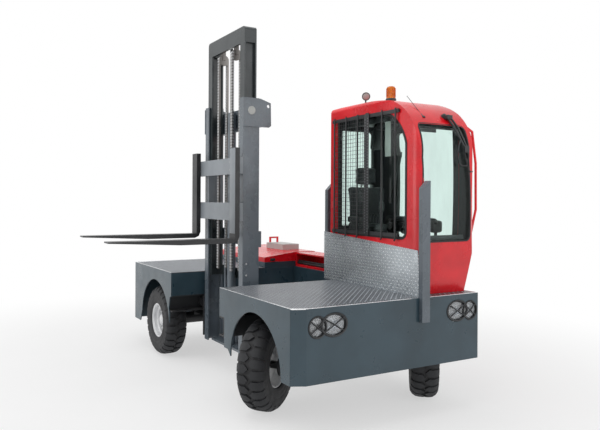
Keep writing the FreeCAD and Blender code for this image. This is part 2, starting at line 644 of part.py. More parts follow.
COLUMN_X = CAB_NOSE_X - 395.0
COLUMN_R, COLUMN_LEAN = 40.0, 107.0   # steering column's radius; how far its foot stands ahead
WHEEL_OVER_FLOOR, STEERING_R, COWL_H = 590.0, 165.0, 380.0
GUARD_R = 9.0
GUARD_BARS_X = tuple(FORK_WINDOW[0] + d for d in (23.0, 227.0, 420.0, 800.0, 995.0))
GUARD_WIDE_X = FORK_WINDOW[0] + 575.0
GUARD_Z0, GUARD_Z1 = FORK_WINDOW[2] + 20, FORK_WINDOW[3] - 20
GUARD_Y = CAB_SIDE_Y - 22.0


def cab_guard():
    """Upright bars before the fork-side window, on two rails fixed to the cab wall."""
    x0, x1 = GUARD_BARS_X[0] - 40, GUARD_BARS_X[-1] + 40
    parts = [rod(GUARD_R, (x, GUARD_Y, GUARD_Z0 - 30), (x, GUARD_Y, GUARD_Z1 + 30)) for x in GUARD_BARS_X]
    parts.append(box(GUARD_WIDE_X - 22, GUARD_WIDE_X + 22, GUARD_Y - 4, GUARD_Y + 4, GUARD_Z0 - 30, GUARD_Z1 + 30))
    for z in (GUARD_Z0, GUARD_Z1):
        parts.append(box(x0, x1, GUARD_Y + 2, GUARD_Y + 10, z - 18, z + 18))
    for x in (x0, x1 - 30):
        for z in (GUARD_Z0, GUARD_Z1):
            parts.append(box(x, x + 30, GUARD_Y + 6, CAB_SIDE_Y, z - 12, z + 12))
    return fuse(*parts)


def cab_skirt():
    """Checker plate that guards the cab's foot, taller at the rear."""
    return plate_xz([(SKIRT_REAR_X, DECK_Z), (-22, DECK_Z), (-62, DECK_Z + 415), (SKIRT_REAR_X, DECK_Z + 517)],
                    CAB_SIDE_Y - SKIRT_T, CAB_SIDE_Y)


def seat():
    """Driver's seat: cushion, backrest and headrest on a pedestal."""
    x, y = SEAT_X, SEAT_Y
    floor_z = DECK_Z + CAB_FLOOR_T
    cushion_z = floor_z + SEAT_H
    back_x = x - 240
    return compound(box(x - 200, x + 200, y - 160, y + 160, floor_z, cushion_z),
                    box(back_x, x + 260, y - SEAT_W / 2, y + SEAT_W / 2, cushion_z, cushion_z + 130),
                    box(back_x - 110, back_x, y - SEAT_W / 2, y + SEAT_W / 2, cushion_z + 60, cushion_z + 700),
                    box(back_x - 95, back_x - 5, y - 130, y + 130, cushion_z + 700, cushion_z + 900))


def console():
    """Control column with its steering wheel, the cowl round its foot, and the lever box."""
    floor_z = DECK_Z + CAB_FLOOR_T
    wheel_z = floor_z + WHEEL_OVER_FLOOR
    cowl = box(COLUMN_X + 20, COLUMN_X + 200, SEAT_Y - 150, SEAT_Y + 150, floor_z, floor_z + COWL_H)
    column = rod(COLUMN_R, (COLUMN_X + COLUMN_LEAN, SEAT_Y, floor_z + 20), (COLUMN_X, SEAT_Y, wheel_z)).cut(cowl)
    column = max(column.Solids, key=lambda solid: solid.Volume)
    rise = math.tan(math.radians(24))
    ring = Part.makeTorus(STEERING_R, 14, V(COLUMN_X, SEAT_Y, wheel_z), V(-rise, 0, 1))
    spokes = [rod(12, (COLUMN_X, SEAT_Y, wheel_z),
                  (COLUMN_X + STEERING_R * math.cos(a) * 0.91, SEAT_Y + STEERING_R * math.sin(a),
                   wheel_z + STEERING_R * math.cos(a) * 0.41))
              for a in (math.radians(d) for d in (90, 210, 330))]
    wheel = fuse(ring, *spokes).cut(column)
    wheel = max(wheel.Solids, key=lambda solid: solid.Volume)
    lever_x = SEAT_X + 160
    levers = box(lever_x, lever_x + 260, CAB_SIDE_Y + CAB_WALL, CAB_SIDE_Y + 112, floor_z, floor_z + 520)
    return compound(cowl, column, wheel, levers)


# ---------------------------------------------------------------- stakes, lamps, rail

BEACON_X, BEACON_Y = CAB_NOSE_X - 539.0, CAB_SIDE_Y + 122.0
WORK_LAMP_X, WORK_LAMP_Y = CAB_REAR_X + 420.0, CAB_SIDE_Y + 140.0


def stake(x0, x1, y0, foot_z):
    """Flat guard post whose top slopes down towards the load."""
    return plate_yz([(y0, foot_z), (y0 + STAKE_W, foot_z), (y0 + STAKE_W, STAKE_TOP_Z),
                     (y0 + STAKE_W * 0.75, STAKE_TOP_Z), (y0, STAKE_TOP_Z - STAKE_W * 0.75)], x0, x1)


def stakes():
    front = stake(-STAKE_SINK, STAKE_T - STAKE_SINK, STAKE_Y, STAKE_FOOT_Z)
    rear_y = CAB_SIDE_Y + RUN
    foot_z = STAKE_FOOT_Z + 40
    rear = stake(SKIRT_REAR_X, SKIRT_REAR_X + STAKE_T, rear_y, foot_z)
    bracket = box(SKIRT_REAR_X + STAKE_T, FRONT_REAR_X, rear_y, rear_y + STAKE_W, foot_z, DECK_Z - 20)
    return compound(front, rear, bracket)


def headlamps():
    """Lamp units let into the front plate."""
    units = []
    for unit in both_lamp_pairs(0):
        moved = unit.copy()
        moved.translate(V(-LAMP_INSET, 0, 0))
        units.append(moved)
    return compound(*units)


def roof_z(x):
    """Height of the roof over station x."""
    column = cab_form(0).common(box(x - 1, x + 1, BEACON_Y - 1, BEACON_Y + 1, WINDOW_TOP_Z, CAB_TOP_Z + 1))
    return column.BoundBox.ZMax


def beacon():
    z = roof_z(BEACON_X)
    return fuse(rod(52, (BEACON_X, BEACON_Y, z - 20), (BEACON_X, BEACON_Y, z + 22)),
                rod(45, (BEACON_X, BEACON_Y, z + 22), (BEACON_X, BEACON_Y, z + 145))).cut(cab_form(0))


def work_lamp():
    z = roof_z(WORK_LAMP_X)
    return fuse(rod(9, (WORK_LAMP_X, WORK_LAMP_Y, z - 20), (WORK_LAMP_X, WORK_LAMP_Y, z + 60)),
                rod(42, (WORK_LAMP_X, WORK_LAMP_Y - 30, z + 90), (WORK_LAMP_X, WORK_LAMP_Y + 30, z + 90))).cut(cab_form(0))


RAIL_TUBE = 12.0
RAIL_X = CAB_NOSE_X - 105.0


def grab_rail():
    """Tube rail bowed out from the cab's left front pillar."""
    x = RAIL_X
    pts = [V(x, CAB_LEFT_Y + dy, CAB_TOP_Z - dz) for dy, dz in
           ((-60, 265), (60, 325), (110, 625), (115, 1075), (40, 1335), (-30, 1365))]
    parts = []
    for a, b in zip(pts, pts[1:]):
        parts.append(rod(RAIL_TUBE, a, b))
    for p in pts[1:-1]:
        parts.append(Part.makeSphere(RAIL_TUBE, p))
    rail = fuse(*parts).cut(cab_form(0))
    return max(rail.Solids, key=lambda s: s.Volume)


# ---------------------------------------------------------------- engine and hood

HOOD_TOP_Z = DECK_Z + 127.0
HOOD_RISE = 55.0
HOOD_RIDGE_Y = HOOD_Y0 + 450.0
HOOD_T = 8.0
HOOD_LEFT_Y = BODY_W - HOOD_LEFT_GAP
HOOD_X0, HOOD_X1 = TAIL_X + 10, REAR_FRONT_X - 8
COVER_Y = SIDE_FRAME_Y + 25.0
COVER_TOP_Z = DECK_Z + 177.0
ENGINE_LEN, ENGINE_W = 890.0, 420.0
HOOD_HINGE_R, HOOD_PIN_R = 9.0, 4.0
HOOD_HINGE_Y = HOOD_Y0 - HOOD_HINGE_R
HOOD_HINGE_Z = DECK_Z + COAMING_H
HOOD_HINGE_X = (HOOD_X0 + 250.0, HOOD_X1 - 250.0)
HOOP_X, HOOP_Y = HOOD_X0 + 540.0, HOOD_LEFT_Y - 230.0


def engine():
    """Engine and gearbox as one plain block, seated on a rear beam."""
    x1 = REAR_GUIDE_X - BEAM_W - 10
    y0 = REAR_BEAM_Y[1] - 120
    return box(x1 - ENGINE_LEN, x1, y0, y0 + ENGINE_W, BEAM_Z1, DECK_Z + 20)


def hood_section(grow):
    g = grow
    base = DECK_Z + COAMING_H + HOOD_SEAT
    return [(HOOD_Y0 + g, base), (HOOD_Y0 + g, HOOD_TOP_Z - g), (HOOD_RIDGE_Y, HOOD_TOP_Z + HOOD_RISE - g),
            (HOOD_LEFT_Y - g, HOOD_TOP_Z + HOOD_RISE - g), (HOOD_LEFT_Y - g, base)]


def hood_hinge(x, part):
    """One hood hinge at station x: the coaming's lugs and pin, or the hood's barrel."""
    y, z, half = HOOD_HINGE_Y, HOOD_HINGE_Z, 25
    if part == "lugs":
        lugs = []
        for side in (-1, 1):
            a, b = sorted((x + side * (half + 2), x + side * (half + 27)))
            lugs.append(rod(HOOD_HINGE_R, (a, y, z), (b, y, z)))
            lugs.append(box(a, b, y - 3, HOOD_Y0, z - 30, z))
        pin = rod(HOOD_PIN_R, (x - half - 20, y, z), (x + half + 20, y, z))
        return fuse(*lugs, pin)
    barrel = rod(HOOD_HINGE_R, (x - half, y, z), (x + half, y, z)).fuse(box(x - half, x + half, y, HOOD_Y0, z, z + 30))
    return barrel.cut(rod(HOOD_PIN_R + RUN, (x - half - 1, y, z), (x + half + 1, y, z)))


def engine_hood():
    """Folded sheet hood with a hoop handle and its hinge barrels."""
    outer = plate_yz(hood_section(0), HOOD_X0, HOOD_X1)
    inner = plate_yz(hood_section(HOOD_T), HOOD_X0 + HOOD_T, HOOD_X1 - HOOD_T)
    lower = inner.copy()
    lower.translate(V(0, 0, -HOOD_T))
    top = HOOD_TOP_Z + HOOD_RISE
    bow = box(HOOP_X, HOOP_X + 25, HOOP_Y, HOOP_Y + 140, top - 4, top + 150)
    hole = box(HOOP_X - 1, HOOP_X + 26, HOOP_Y + 22, HOOP_Y + 118, top - 5, top + 128)
    return fuse(outer.cut(inner).cut(lower), bow.cut(hole), *[hood_hinge(x, "barrel") for x in HOOD_HINGE_X])


def hood_box():
    """Pale box on the hood."""
    z = HOOD_TOP_Z + HOOD_RISE
    return box(HOOP_X + 60, HOOP_X + 510, HOOD_RIDGE_Y + 5, HOOD_RIDGE_Y + 260, z, z + 75)


def hose_cover():
    """Cover on the left frame, open towards the mast for the hoses."""
    x0, x1 = REAR_FRONT_X + 4, CAB_REAR_X - 50
    outer = box(x0, x1, COVER_Y, BODY_W - 25, DECK_Z, COVER_TOP_Z)
    inner = box(x0 + 20, x1 - 20, COVER_Y - 20, BODY_W - 45, DECK_Z + 30, COVER_TOP_Z - 18)
    return outer.cut(inner)


# ---------------------------------------------------------------- mast

FLANGE_W, WEB_T, FLANGE_T = 90.0, 18.0, 18.0
NEAR_FACE_X = MAST_X + MAST_W / 2
INNER_FACE_X = NEAR_FACE_X - WEB_T - MOVE_GAP
INNER_FLANGE_W = 105.0
INNER_Y0 = MAST_FRONT_Y + FLANGE_T + MOVE_GAP
INNER_Y1 = MAST_FRONT_Y + RAIL_DEPTH - FLANGE_T - MOVE_GAP
BACK_Y = MAST_FRONT_Y + RAIL_DEPTH
CROSS_T = 30.0
PIVOT_Z = 600.0
PIVOT_R = 32.0
PIVOT_Y = MAST_FRONT_Y + RAIL_DEPTH / 2
TRUCK_PLATE = 25.0
TRUCK_GAP = 10.0
ROLLER_R = (GUIDE_Z1 - GUIDE_Z0) / 2 - GUIDE_WALL - RUN
ROLLER_Z = (GUIDE_Z0 + GUIDE_Z1) / 2
TRUCK_Y0, TRUCK_Y1 = MAST_FRONT_Y - 8, BACK_Y + 290
TRUCK_Z0, TRUCK_Z1 = 330.0, GUIDE_Z1 - 10
CYL_R, CYL_BORE, ROD_R = 47.0, 38.0, 25.0
CYL_Y = 488.0
CYL_TOP_Z = OUTER_TOP_Z - 105.0
HOSE_TUBE_R = 16.0
HOSE_TUBE_X = 215.0
CHAIN_X = 165.0
CHAIN_W, CHAIN_T = 38.0, 20.0
CHAIN_FRONT_Y = 405.0
CHAIN_REAR_Y = 505.0
PULLEY_DROP = 75.0                     # pulley axis below the head beam
HEAD_PLATE_T = 15.0
HEAD_RECESS = (MAST_FRONT_Y + 90, OUTER_TOP_Z - 135)
HEAD_EYE = (BACK_Y + 102, OUTER_TOP_Z - 80)
FOOT_T = 25.0
HEAD_EYE_R = 18.0
HEAD_BEAM_Z = INNER_TOP_Z - 170        # underside of the inner mast's head beam
HEAD_PLATE_Z = INNER_TOP_Z - 60        # underside of its top plate, where rod and chains hang
HEAD_FRONT_T = 28.0


def outer_rail():
    """Near outer rail: a channel with its web outside."""
    x1 = NEAR_FACE_X
    block = box(x1 - FLANGE_W, x1, MAST_FRONT_Y, BACK_Y, MAST_FOOT_Z, OUTER_TOP_Z)
    slot = box(x1 - FLANGE_W - 1, x1 - WEB_T, MAST_FRONT_Y + FLANGE_T, BACK_Y - FLANGE_T,
               MAST_FOOT_Z - 1, OUTER_TOP_Z + 1)
    return block.cut(slot)


def head_plate():
    """Plate on the outer face of the rail's head, with its eyes."""
    x = NEAR_FACE_X
    top = OUTER_TOP_Z
    plate = plate_yz([(MAST_FRONT_Y - 5, top - 305), (MAST_FRONT_Y - 5, top - 20), (BACK_Y + 5, top - 5),
                      (BACK_Y + 130, top - 45), (BACK_Y + 135, top - 285), (BACK_Y + 110, top - 305)],
                     x, x + HEAD_PLATE_T)
    for (y, z), r in ((HEAD_RECESS, 22), (HEAD_EYE, HEAD_EYE_R)):
        plate = plate.cut(rod(r, (x - 1, y, z), (x + HEAD_PLATE_T + 1, y, z)))
    return plate


CROSS_MEMBERS = ((OUTER_TOP_Z - 305, OUTER_TOP_Z - 65), (1430, 1600), (MAST_FOOT_Z, 560))


def outer_mast():
    """Outer rails with head plates and tilt pins, cross members behind them, and the foot."""
    half = MAST_W / 2
    pin = rod(PIVOT_R, (NEAR_FACE_X, PIVOT_Y, PIVOT_Z), (NEAR_FACE_X + 40, PIVOT_Y, PIVOT_Z))
    parts = both_mast_sides(fuse(outer_rail(), head_plate(), pin))
    for z0, z1 in CROSS_MEMBERS:
        parts.append(box(MAST_X - half, MAST_X + half, BACK_Y, BACK_Y + CROSS_T, z0, z1))
    gap = half - FLANGE_W
    parts.append(box(MAST_X - gap, MAST_X + gap, MAST_FRONT_Y + 50, BACK_Y, MAST_FOOT_Z, MAST_FOOT_Z + FOOT_T))
    top_z0 = CROSS_MEMBERS[0][0]
    parts.append(box(MAST_X - 90, MAST_X + 90, CYL_Y + CYL_R, BACK_Y, top_z0 + 40, top_z0 + 180))
    return compound(*parts)


def lift_cylinder():
    """Central lift barrel with its gland, and a hose tube on each side."""
    foot = MAST_FOOT_Z + FOOT_T
    barrel = rod(CYL_R, (MAST_X, CYL_Y, foot), (MAST_X, CYL_Y, CYL_TOP_Z))
    barrel = barrel.cut(rod(CYL_BORE, (MAST_X, CYL_Y, foot + 30), (MAST_X, CYL_Y, CYL_TOP_Z - 60)))
    barrel = barrel.cut(rod(ROD_R + RUN, (MAST_X, CYL_Y, foot + 30), (MAST_X, CYL_Y, CYL_TOP_Z + 1)))
    tubes = [rod(HOSE_TUBE_R, (MAST_X + side * HOSE_TUBE_X, CYL_Y + 30, foot),
                 (MAST_X + side * HOSE_TUBE_X, CYL_Y + 30, CYL_TOP_Z + 30)) for side in (-1, 1)]
    return compound(barrel, *tubes)


TILT_Z = 400.0
TILT_X = 300.0
TILT_R, TILT_BORE, TILT_ROD = 45.0, 32.0, 16.0
TRUCK_BEAM_Y0 = BACK_Y + CROSS_T + 60
TRUCK_BEAM_Y1 = TRUCK_BEAM_Y0 + 120


def tilt_rods():
    """Rods of the two tilt cylinders, fixed to the mast's foot."""
    return compound(*[rod(TILT_ROD, (MAST_X + side * TILT_X, BACK_Y + CROSS_T, TILT_Z),
                          (MAST_X + side * TILT_X, TRUCK_BEAM_Y0 + 50, TILT_Z)) for side in (-1, 1)])


def guide_roller(face_x, y):
    """Guide roller in the front channel, on a shaft from the truck's plate at face_x."""
    x0, x1 = FRONT_REAR_X + 8, FRONT_GUIDE_X - GUIDE_WALL - 6
    return fuse(rod(30, (face_x, y, ROLLER_Z), (x0, y, ROLLER_Z)), rod(ROLLER_R, (x0, y, ROLLER_Z), (x1, y, ROLLER_Z)))


def mast_truck():
    """Reach carriage: side plates, guide rollers and a low rear beam."""
    near0 = NEAR_FACE_X + TRUCK_GAP
    plate = box(near0, near0 + TRUCK_PLATE, TRUCK_Y0, TRUCK_Y1, TRUCK_Z0, TRUCK_Z1)
    plate = plate.cut(rod(PIVOT_R + RUN, (near0 - 1, PIVOT_Y, PIVOT_Z), (near0 + TRUCK_PLATE + 1, PIVOT_Y, PIVOT_Z)))
    parts = both_mast_sides(plate)
    near_face = near0 + TRUCK_PLATE
    well_middle = (FRONT_REAR_X + REAR_FRONT_X) / 2
    for y in (TRUCK_Y0 + 88, TRUCK_Y1 - 88):
        parts.append(guide_roller(near_face, y))
        parts.append(mirrored_x(guide_roller(2 * well_middle - (2 * MAST_X - near_face), y), well_middle))
    beam = box(2 * MAST_X - near0, near0, TRUCK_BEAM_Y0, TRUCK_BEAM_Y1, TRUCK_Z0, TRUCK_Z0 + 140)
    for x in (MAST_X - TILT_X, MAST_X + TILT_X):
        beam = beam.fuse(rod(TILT_R, (x, TRUCK_BEAM_Y0 - 30, TILT_Z), (x, TRUCK_BEAM_Y1 + 60, TILT_Z)))
        beam = beam.cut(rod(TILT_BORE, (x, TRUCK_BEAM_Y0 - 31, TILT_Z), (x, TRUCK_BEAM_Y0 + 80, TILT_Z)))
    parts.append(beam.removeSplitter())
    return compound(*parts)


def inner_rail():
    """Near inner rail: an I section inside the outer channel."""
    x1 = INNER_FACE_X
    x0 = x1 - INNER_FLANGE_W
    block = box(x0, x1, INNER_Y0, INNER_Y1, INNER_FOOT_Z, HEAD_BEAM_Z)
    web_x1 = x1 - 34
    web_x0 = web_x1 - 16
    for a, b in ((x0 - 1, web_x0), (web_x1, x1 + 1)):
        block = block.cut(box(a, b, INNER_Y0 + FLANGE_T, INNER_Y1 - FLANGE_T, INNER_FOOT_Z - 1, INNER_TOP_Z))
    return block


def inner_mast():
    """Inner rails, the rounded head beam and the low cross member."""
    x1 = INNER_FACE_X
    x0 = 2 * MAST_X - INNER_FACE_X
    head = box(x0, x1, INNER_Y0, INNER_Y1, HEAD_BEAM_Z, INNER_TOP_Z)
    head = head.makeFillet(35, [e for e in head.Edges if abs(e.tangentAt(e.FirstParameter).y) > 0.9
                                and e.CenterOfMass.z > INNER_TOP_Z - 1])
    head = head.cut(box(x0 + INNER_FLANGE_W, x1 - INNER_FLANGE_W, INNER_Y0 + HEAD_FRONT_T, INNER_Y1 + 1,
                        HEAD_BEAM_Z - 1, HEAD_PLATE_Z))
    low_y = INNER_Y1 - 6
    low = box(x0 + INNER_FLANGE_W, x1 - INNER_FLANGE_W, low_y, low_y + 14, INNER_FOOT_Z, INNER_FOOT_Z + 120)
    pads = [box(x1 - 34, x1 - 2, y0, y1, INNER_FOOT_Z, INNER_FOOT_Z + 110)
            for y0, y1 in ((INNER_Y0 - MOVE_GAP + RUN, INNER_Y0 + 2), (INNER_Y1 - 2, INNER_Y1 + MOVE_GAP - RUN))]
    return compound(*both_mast_sides(fuse(inner_rail(), *pads)), head, low)


def lift_rod():
    """Chrome lift rod under the inner mast's head."""
    return rod(ROD_R, (MAST_X, CYL_Y, INNER_FOOT_Z + 150), (MAST_X, CYL_Y, HEAD_PLATE_Z))


def lift_chains():
    """Leaf chains over their pulleys, one on each side of the rod."""
    solids = []
    mid_y = (CHAIN_FRONT_Y + CHAIN_REAR_Y) / 2
    pulley_z = HEAD_BEAM_Z - PULLEY_DROP
    arm = (CHAIN_REAR_Y - CHAIN_FRONT_Y) / 2
    low_z = INNER_FOOT_Z + 100
    for side in (-1, 1):
        xc = MAST_X + side * CHAIN_X
        x0, x1 = xc - CHAIN_W / 2, xc + CHAIN_W / 2
        wrap = rod(arm + CHAIN_T / 2, (x0, mid_y, pulley_z), (x1, mid_y, pulley_z))
        falls = [box(x0, x1, y - CHAIN_T / 2, y + CHAIN_T / 2, low_z, pulley_z) for y in (CHAIN_FRONT_Y, CHAIN_REAR_Y)]
        hanger = box(x0 - 6, x1 + 6, mid_y - 20, mid_y + 20, pulley_z, HEAD_PLATE_Z)
        solids.append(fuse(wrap, *falls, hanger))
    return compound(*solids)


BAR_T = 45.0
BAR_GAP = 0.0
UPPER_BAR = (FORK_TOP_Z - 267, FORK_TOP_Z - 95)
LOWER_BAR = (FORK_TOP_Z - 755, FORK_TOP_Z - 567)
BAR_Y0 = FORK_FACE_Y + FORK_T + BAR_GAP
CARRIAGE_PLATE_X = 335.0
CARRIAGE_PLATE_T = 25.0
CARRIAGE_ROLLER_R = (INNER_Y1 - INNER_Y0) / 2 - FLANGE_T - RUN


def fork_carriage():
    """Two fork bars with roller plates that run in the inner rails."""
    half = FORK_SPREAD / 2
    y1 = BAR_Y0 + BAR_T
    parts = [box(MAST_X - half + 15, MAST_X + half - 15, BAR_Y0, y1, *bar) for bar in (UPPER_BAR, LOWER_BAR)]
    web_x0 = INNER_FACE_X - 34 - 16
    x1 = MAST_X + CARRIAGE_PLATE_X
    plate = box(x1 - CARRIAGE_PLATE_T, x1, y1, BACK_Y - 40, LOWER_BAR[0] + 88, UPPER_BAR[1] - 42)
    rollers = [rod(CARRIAGE_ROLLER_R, (x1 - 1, (INNER_Y0 + INNER_Y1) / 2, z), (web_x0 - MOVE_GAP, (INNER_Y0 + INNER_Y1) / 2, z))
               for z in (LOWER_BAR[0] + 158, UPPER_BAR[1] - 112)]
    for piece in both_mast_sides(fuse(plate, *rollers)):
        parts.append(piece)
    return compound(*parts)


def forks():
    """Two L-shaped forks hooked over the bars."""
    half = FORK_SPREAD / 2
    out = []
    for side in (-1, 1):
        edge = MAST_X + side * half
        x0, x1 = sorted((edge, edge - side * FORK_W))
        y = FORK_FACE_Y
        tip = y - FORK_LEN
        under = FORK_UNDER_Z
        heel = 70.0
        section = plate_yz([(y + FORK_T, FORK_TOP_Z), (y, FORK_TOP_Z), (y, under + FORK_T), (tip, under + FORK_T),
                            (tip, under + FORK_T - 14), (y - FORK_LEN * 0.45, under),
                            (y + FORK_T - heel, under), (y + FORK_T - heel * 0.3, under + heel * 0.3),
                            (y + FORK_T, under + heel)], x0, x1)
        out.append(section)
    return compound(*out)


# ---------------------------------------------------------------- all nodes


def wheel_set():
    """Tyres and rims, the front pair turned about their kingpins."""
    nodes = {}
    for name, x, wheel_y, outward, king_y, angle in (
            ("front_right", FRONT_AXLE_X, WHEEL_Y_RIGHT, -1, KING_Y_RIGHT, STEER_RIGHT),
            ("front_left", FRONT_AXLE_X, WHEEL_Y_LEFT, 1, KING_Y_LEFT, STEER_LEFT),
            ("rear_right", REAR_AXLE_X, WHEEL_Y_RIGHT, -1, None, 0.0),
            ("rear_left", REAR_AXLE_X, WHEEL_Y_LEFT, 1, None, 0.0)):
        for kind, solid in (("tyre", tyre(x, wheel_y)), ("rim", rim(x, wheel_y, outward))):
            if king_y is not None:
                solid = turned(solid, (x, king_y, 0), angle)
            nodes[f"{name}_{kind}"] = solid
    return nodes


def all_nodes():
    nodes = {
        "front_sides": front_sides(), "front_walls": front_walls(), "front_deck": front_deck(),
        "rear_sides": rear_sides(), "rear_walls": rear_walls(), "rear_deck": rear_deck(),
        "hood_coaming": hood_coaming(), "side_frame": side_frame(), "chassis_beams": chassis_beams(),
        "mast_guides": mast_guides(), "steer_axle": steer_axle(), "rear_axle": rear_axle(),
        "cab_shell": cab_shell(), "cab_glass": cab_glass(), "cab_guard": cab_guard(),
        "cab_skirt": cab_skirt(), "seat": seat(), "console": console(), "stakes": stakes(),
        "headlamps": headlamps(), "beacon": beacon(), "work_lamp": work_lamp(), "grab_rail": grab_rail(),
        "engine": engine(), "hose_cover": hose_cover(),
        "cab_door": cab_door(), "door_glass": door_glass(),
        "engine_hood": engine_hood(), "hood_box": hood_box(),
        "knuckle_right": knuckle(KING_Y_RIGHT, -1, STEER_RIGHT),
        "knuckle_left": knuckle(KING_Y_LEFT, 1, STEER_LEFT),
        "mast_truck": mast_truck(), "outer_mast": outer_mast(), "lift_cylinder": lift_cylinder(),
        "tilt_rods": tilt_rods(),
        "inner_mast": inner_mast(), "lift_rod": lift_rod(), "lift_chains": lift_chains(),
        "fork_carriage": fork_carriage(), "forks": forks(),
    }
    nodes.update(wheel_set())
    return nodes


def ground_centre(nodes):
    """Point on the ground under the middle of the whole machine."""
    whole = Part.makeCompound(list(nodes.values())).BoundBox
    return V((whole.XMin + whole.XMax) / 2, (whole.YMin + whole.YMax) / 2, 0)


def main():
    os.makedirs("parts", exist_ok=True)
    nodes = all_nodes()
    shift = ground_centre(nodes) * -1
    print("shift", shift)
    for name, shape in nodes.items():
        shape.translate(shift)
        shape.exportStep(f"parts/{name}.step")
        print(f"{name:18s} solids {len(shape.Solids)} valid {shape.isValid()} volume {shape.Volume / 1e9:.4f} m3")


if __name__ == "__main__":
    main()
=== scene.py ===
"""Looks of the side-loading fork truck, built around its packed construction frame."""

from __future__ import annotations

import json
import logging
import math
from abc import ABC, abstractmethod
from dataclasses import dataclass, field
from enum import Enum
from typing import Iterable, Sequence

import bmesh
import bpy
from mathutils import Matrix, Vector
from mathutils.bvhtree import BVHTree

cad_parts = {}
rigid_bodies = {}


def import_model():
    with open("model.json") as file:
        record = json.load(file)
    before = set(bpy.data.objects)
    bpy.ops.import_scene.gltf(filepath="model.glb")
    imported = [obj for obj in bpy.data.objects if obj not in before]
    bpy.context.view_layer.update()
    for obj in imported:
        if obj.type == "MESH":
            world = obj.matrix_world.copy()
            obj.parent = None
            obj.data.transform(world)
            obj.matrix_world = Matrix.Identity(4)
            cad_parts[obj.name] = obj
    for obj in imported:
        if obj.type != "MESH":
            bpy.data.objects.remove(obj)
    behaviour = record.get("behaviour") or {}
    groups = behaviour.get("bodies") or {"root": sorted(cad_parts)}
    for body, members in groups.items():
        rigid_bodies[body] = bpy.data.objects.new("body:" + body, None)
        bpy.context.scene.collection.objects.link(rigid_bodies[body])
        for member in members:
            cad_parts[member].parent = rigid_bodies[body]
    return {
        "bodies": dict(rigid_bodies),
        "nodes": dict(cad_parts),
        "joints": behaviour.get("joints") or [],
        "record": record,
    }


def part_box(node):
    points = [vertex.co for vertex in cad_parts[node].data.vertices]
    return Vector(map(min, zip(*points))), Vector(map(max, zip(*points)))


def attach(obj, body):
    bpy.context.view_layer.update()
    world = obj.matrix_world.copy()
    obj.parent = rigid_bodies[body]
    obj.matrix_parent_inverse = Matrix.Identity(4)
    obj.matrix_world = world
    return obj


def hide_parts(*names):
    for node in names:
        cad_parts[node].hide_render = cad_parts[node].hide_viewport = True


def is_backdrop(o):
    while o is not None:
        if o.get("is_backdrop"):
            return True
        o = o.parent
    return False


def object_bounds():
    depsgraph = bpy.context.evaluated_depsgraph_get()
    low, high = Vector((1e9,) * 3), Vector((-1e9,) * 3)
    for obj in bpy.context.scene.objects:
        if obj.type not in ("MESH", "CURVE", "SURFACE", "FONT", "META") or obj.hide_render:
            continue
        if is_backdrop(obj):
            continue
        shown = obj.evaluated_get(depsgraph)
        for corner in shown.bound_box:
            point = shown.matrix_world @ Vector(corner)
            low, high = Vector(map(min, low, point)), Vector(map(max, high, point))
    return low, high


LOG = logging.getLogger("side_loader")
LONGEST_LEG = 0.48  # most of a side that the arc at its corner takes

Point = Sequence[float]
Flat = tuple[float, float]
Colour = tuple[float, float, float]
Mesh = bmesh.types.BMesh
Piece = bpy.types.Object
Socket = bpy.types.NodeSocket
Inputs = dict[str | int, object]


class Body(Enum):
    """Rigid bodies of the truck that carry pieces, by the names the frame gives them."""

    CHASSIS = "chassis"
    DOOR = "cab_door"
    HOOD = "engine_hood"
    OUTER = "outer_mast"
    INNER = "inner_mast"
    CARRIAGE = "fork_carriage"
    FRONT_RIGHT = "front_right_wheel"
    FRONT_LEFT = "front_left_wheel"
    REAR_RIGHT = "rear_right_wheel"
    REAR_LEFT = "rear_left_wheel"


class Axis(Enum):
    """Directions of the row frame as unit vectors."""

    X = (1.0, 0.0, 0.0)
    Y = (0.0, 1.0, 0.0)
    Z = (0.0, 0.0, 1.0)
    FORK_SIDE = (0.0, -1.0, 0.0)
    TAIL = (-1.0, 0.0, 0.0)


class Plane(Enum):
    """Planes of a plate's outline: the indices of its two axes, then of its thickness."""

    XZ = (0, 2, 1)
    YZ = (1, 2, 0)


# ------ node trees and shaders


class NodeTree:
    """Short ways to fill a node tree."""

    def __init__(self, tree: bpy.types.NodeTree) -> None:
        """Take over a tree."""
        self.tree = tree

    def node(self, kind: str, inputs: Inputs | None = None, **settings: object) -> bpy.types.Node:
        """Add a node.

        Args:
            kind: the node's type name.
            inputs: sockets or plain values for its inputs, by name or number.
            settings: its plain properties.

        Returns:
            The node.
        """
        made = self.tree.nodes.new(kind)
        for key, value in settings.items():
            setattr(made, key, value)
        for key, value in (inputs or {}).items():
            self.feed(made.inputs[key], value)
        return made

    def feed(self, target: Socket, value: object) -> None:
        """Link a socket into another, or set a plain value on it.

        Args:
            target: the socket that is fed.
            value: the other socket, or the plain value.
        """
        if isinstance(value, bpy.types.NodeSocket):
            self.tree.links.new(value, target)
        else:
            target.default_value = value

    def maths(self, operation: str, *operands: object) -> Socket:
        """Result of one arithmetic node on sockets or numbers."""
        return self.node("ShaderNodeMath", dict(enumerate(operands)), operation=operation).outputs[0]

    def sight(self) -> Socket:
        """Tell what is seen from what lights the truck.

        Returns:
            A factor of 1 for what is seen, mirrored or seen through glass, else 0.
        """
        rays = self.node("ShaderNodeLightPath").outputs
        seen = self.maths("MAXIMUM", rays["Is Camera Ray"], rays["Is Glossy Ray"])
        return self.maths("MAXIMUM", seen, rays["Is Transmission Ray"])


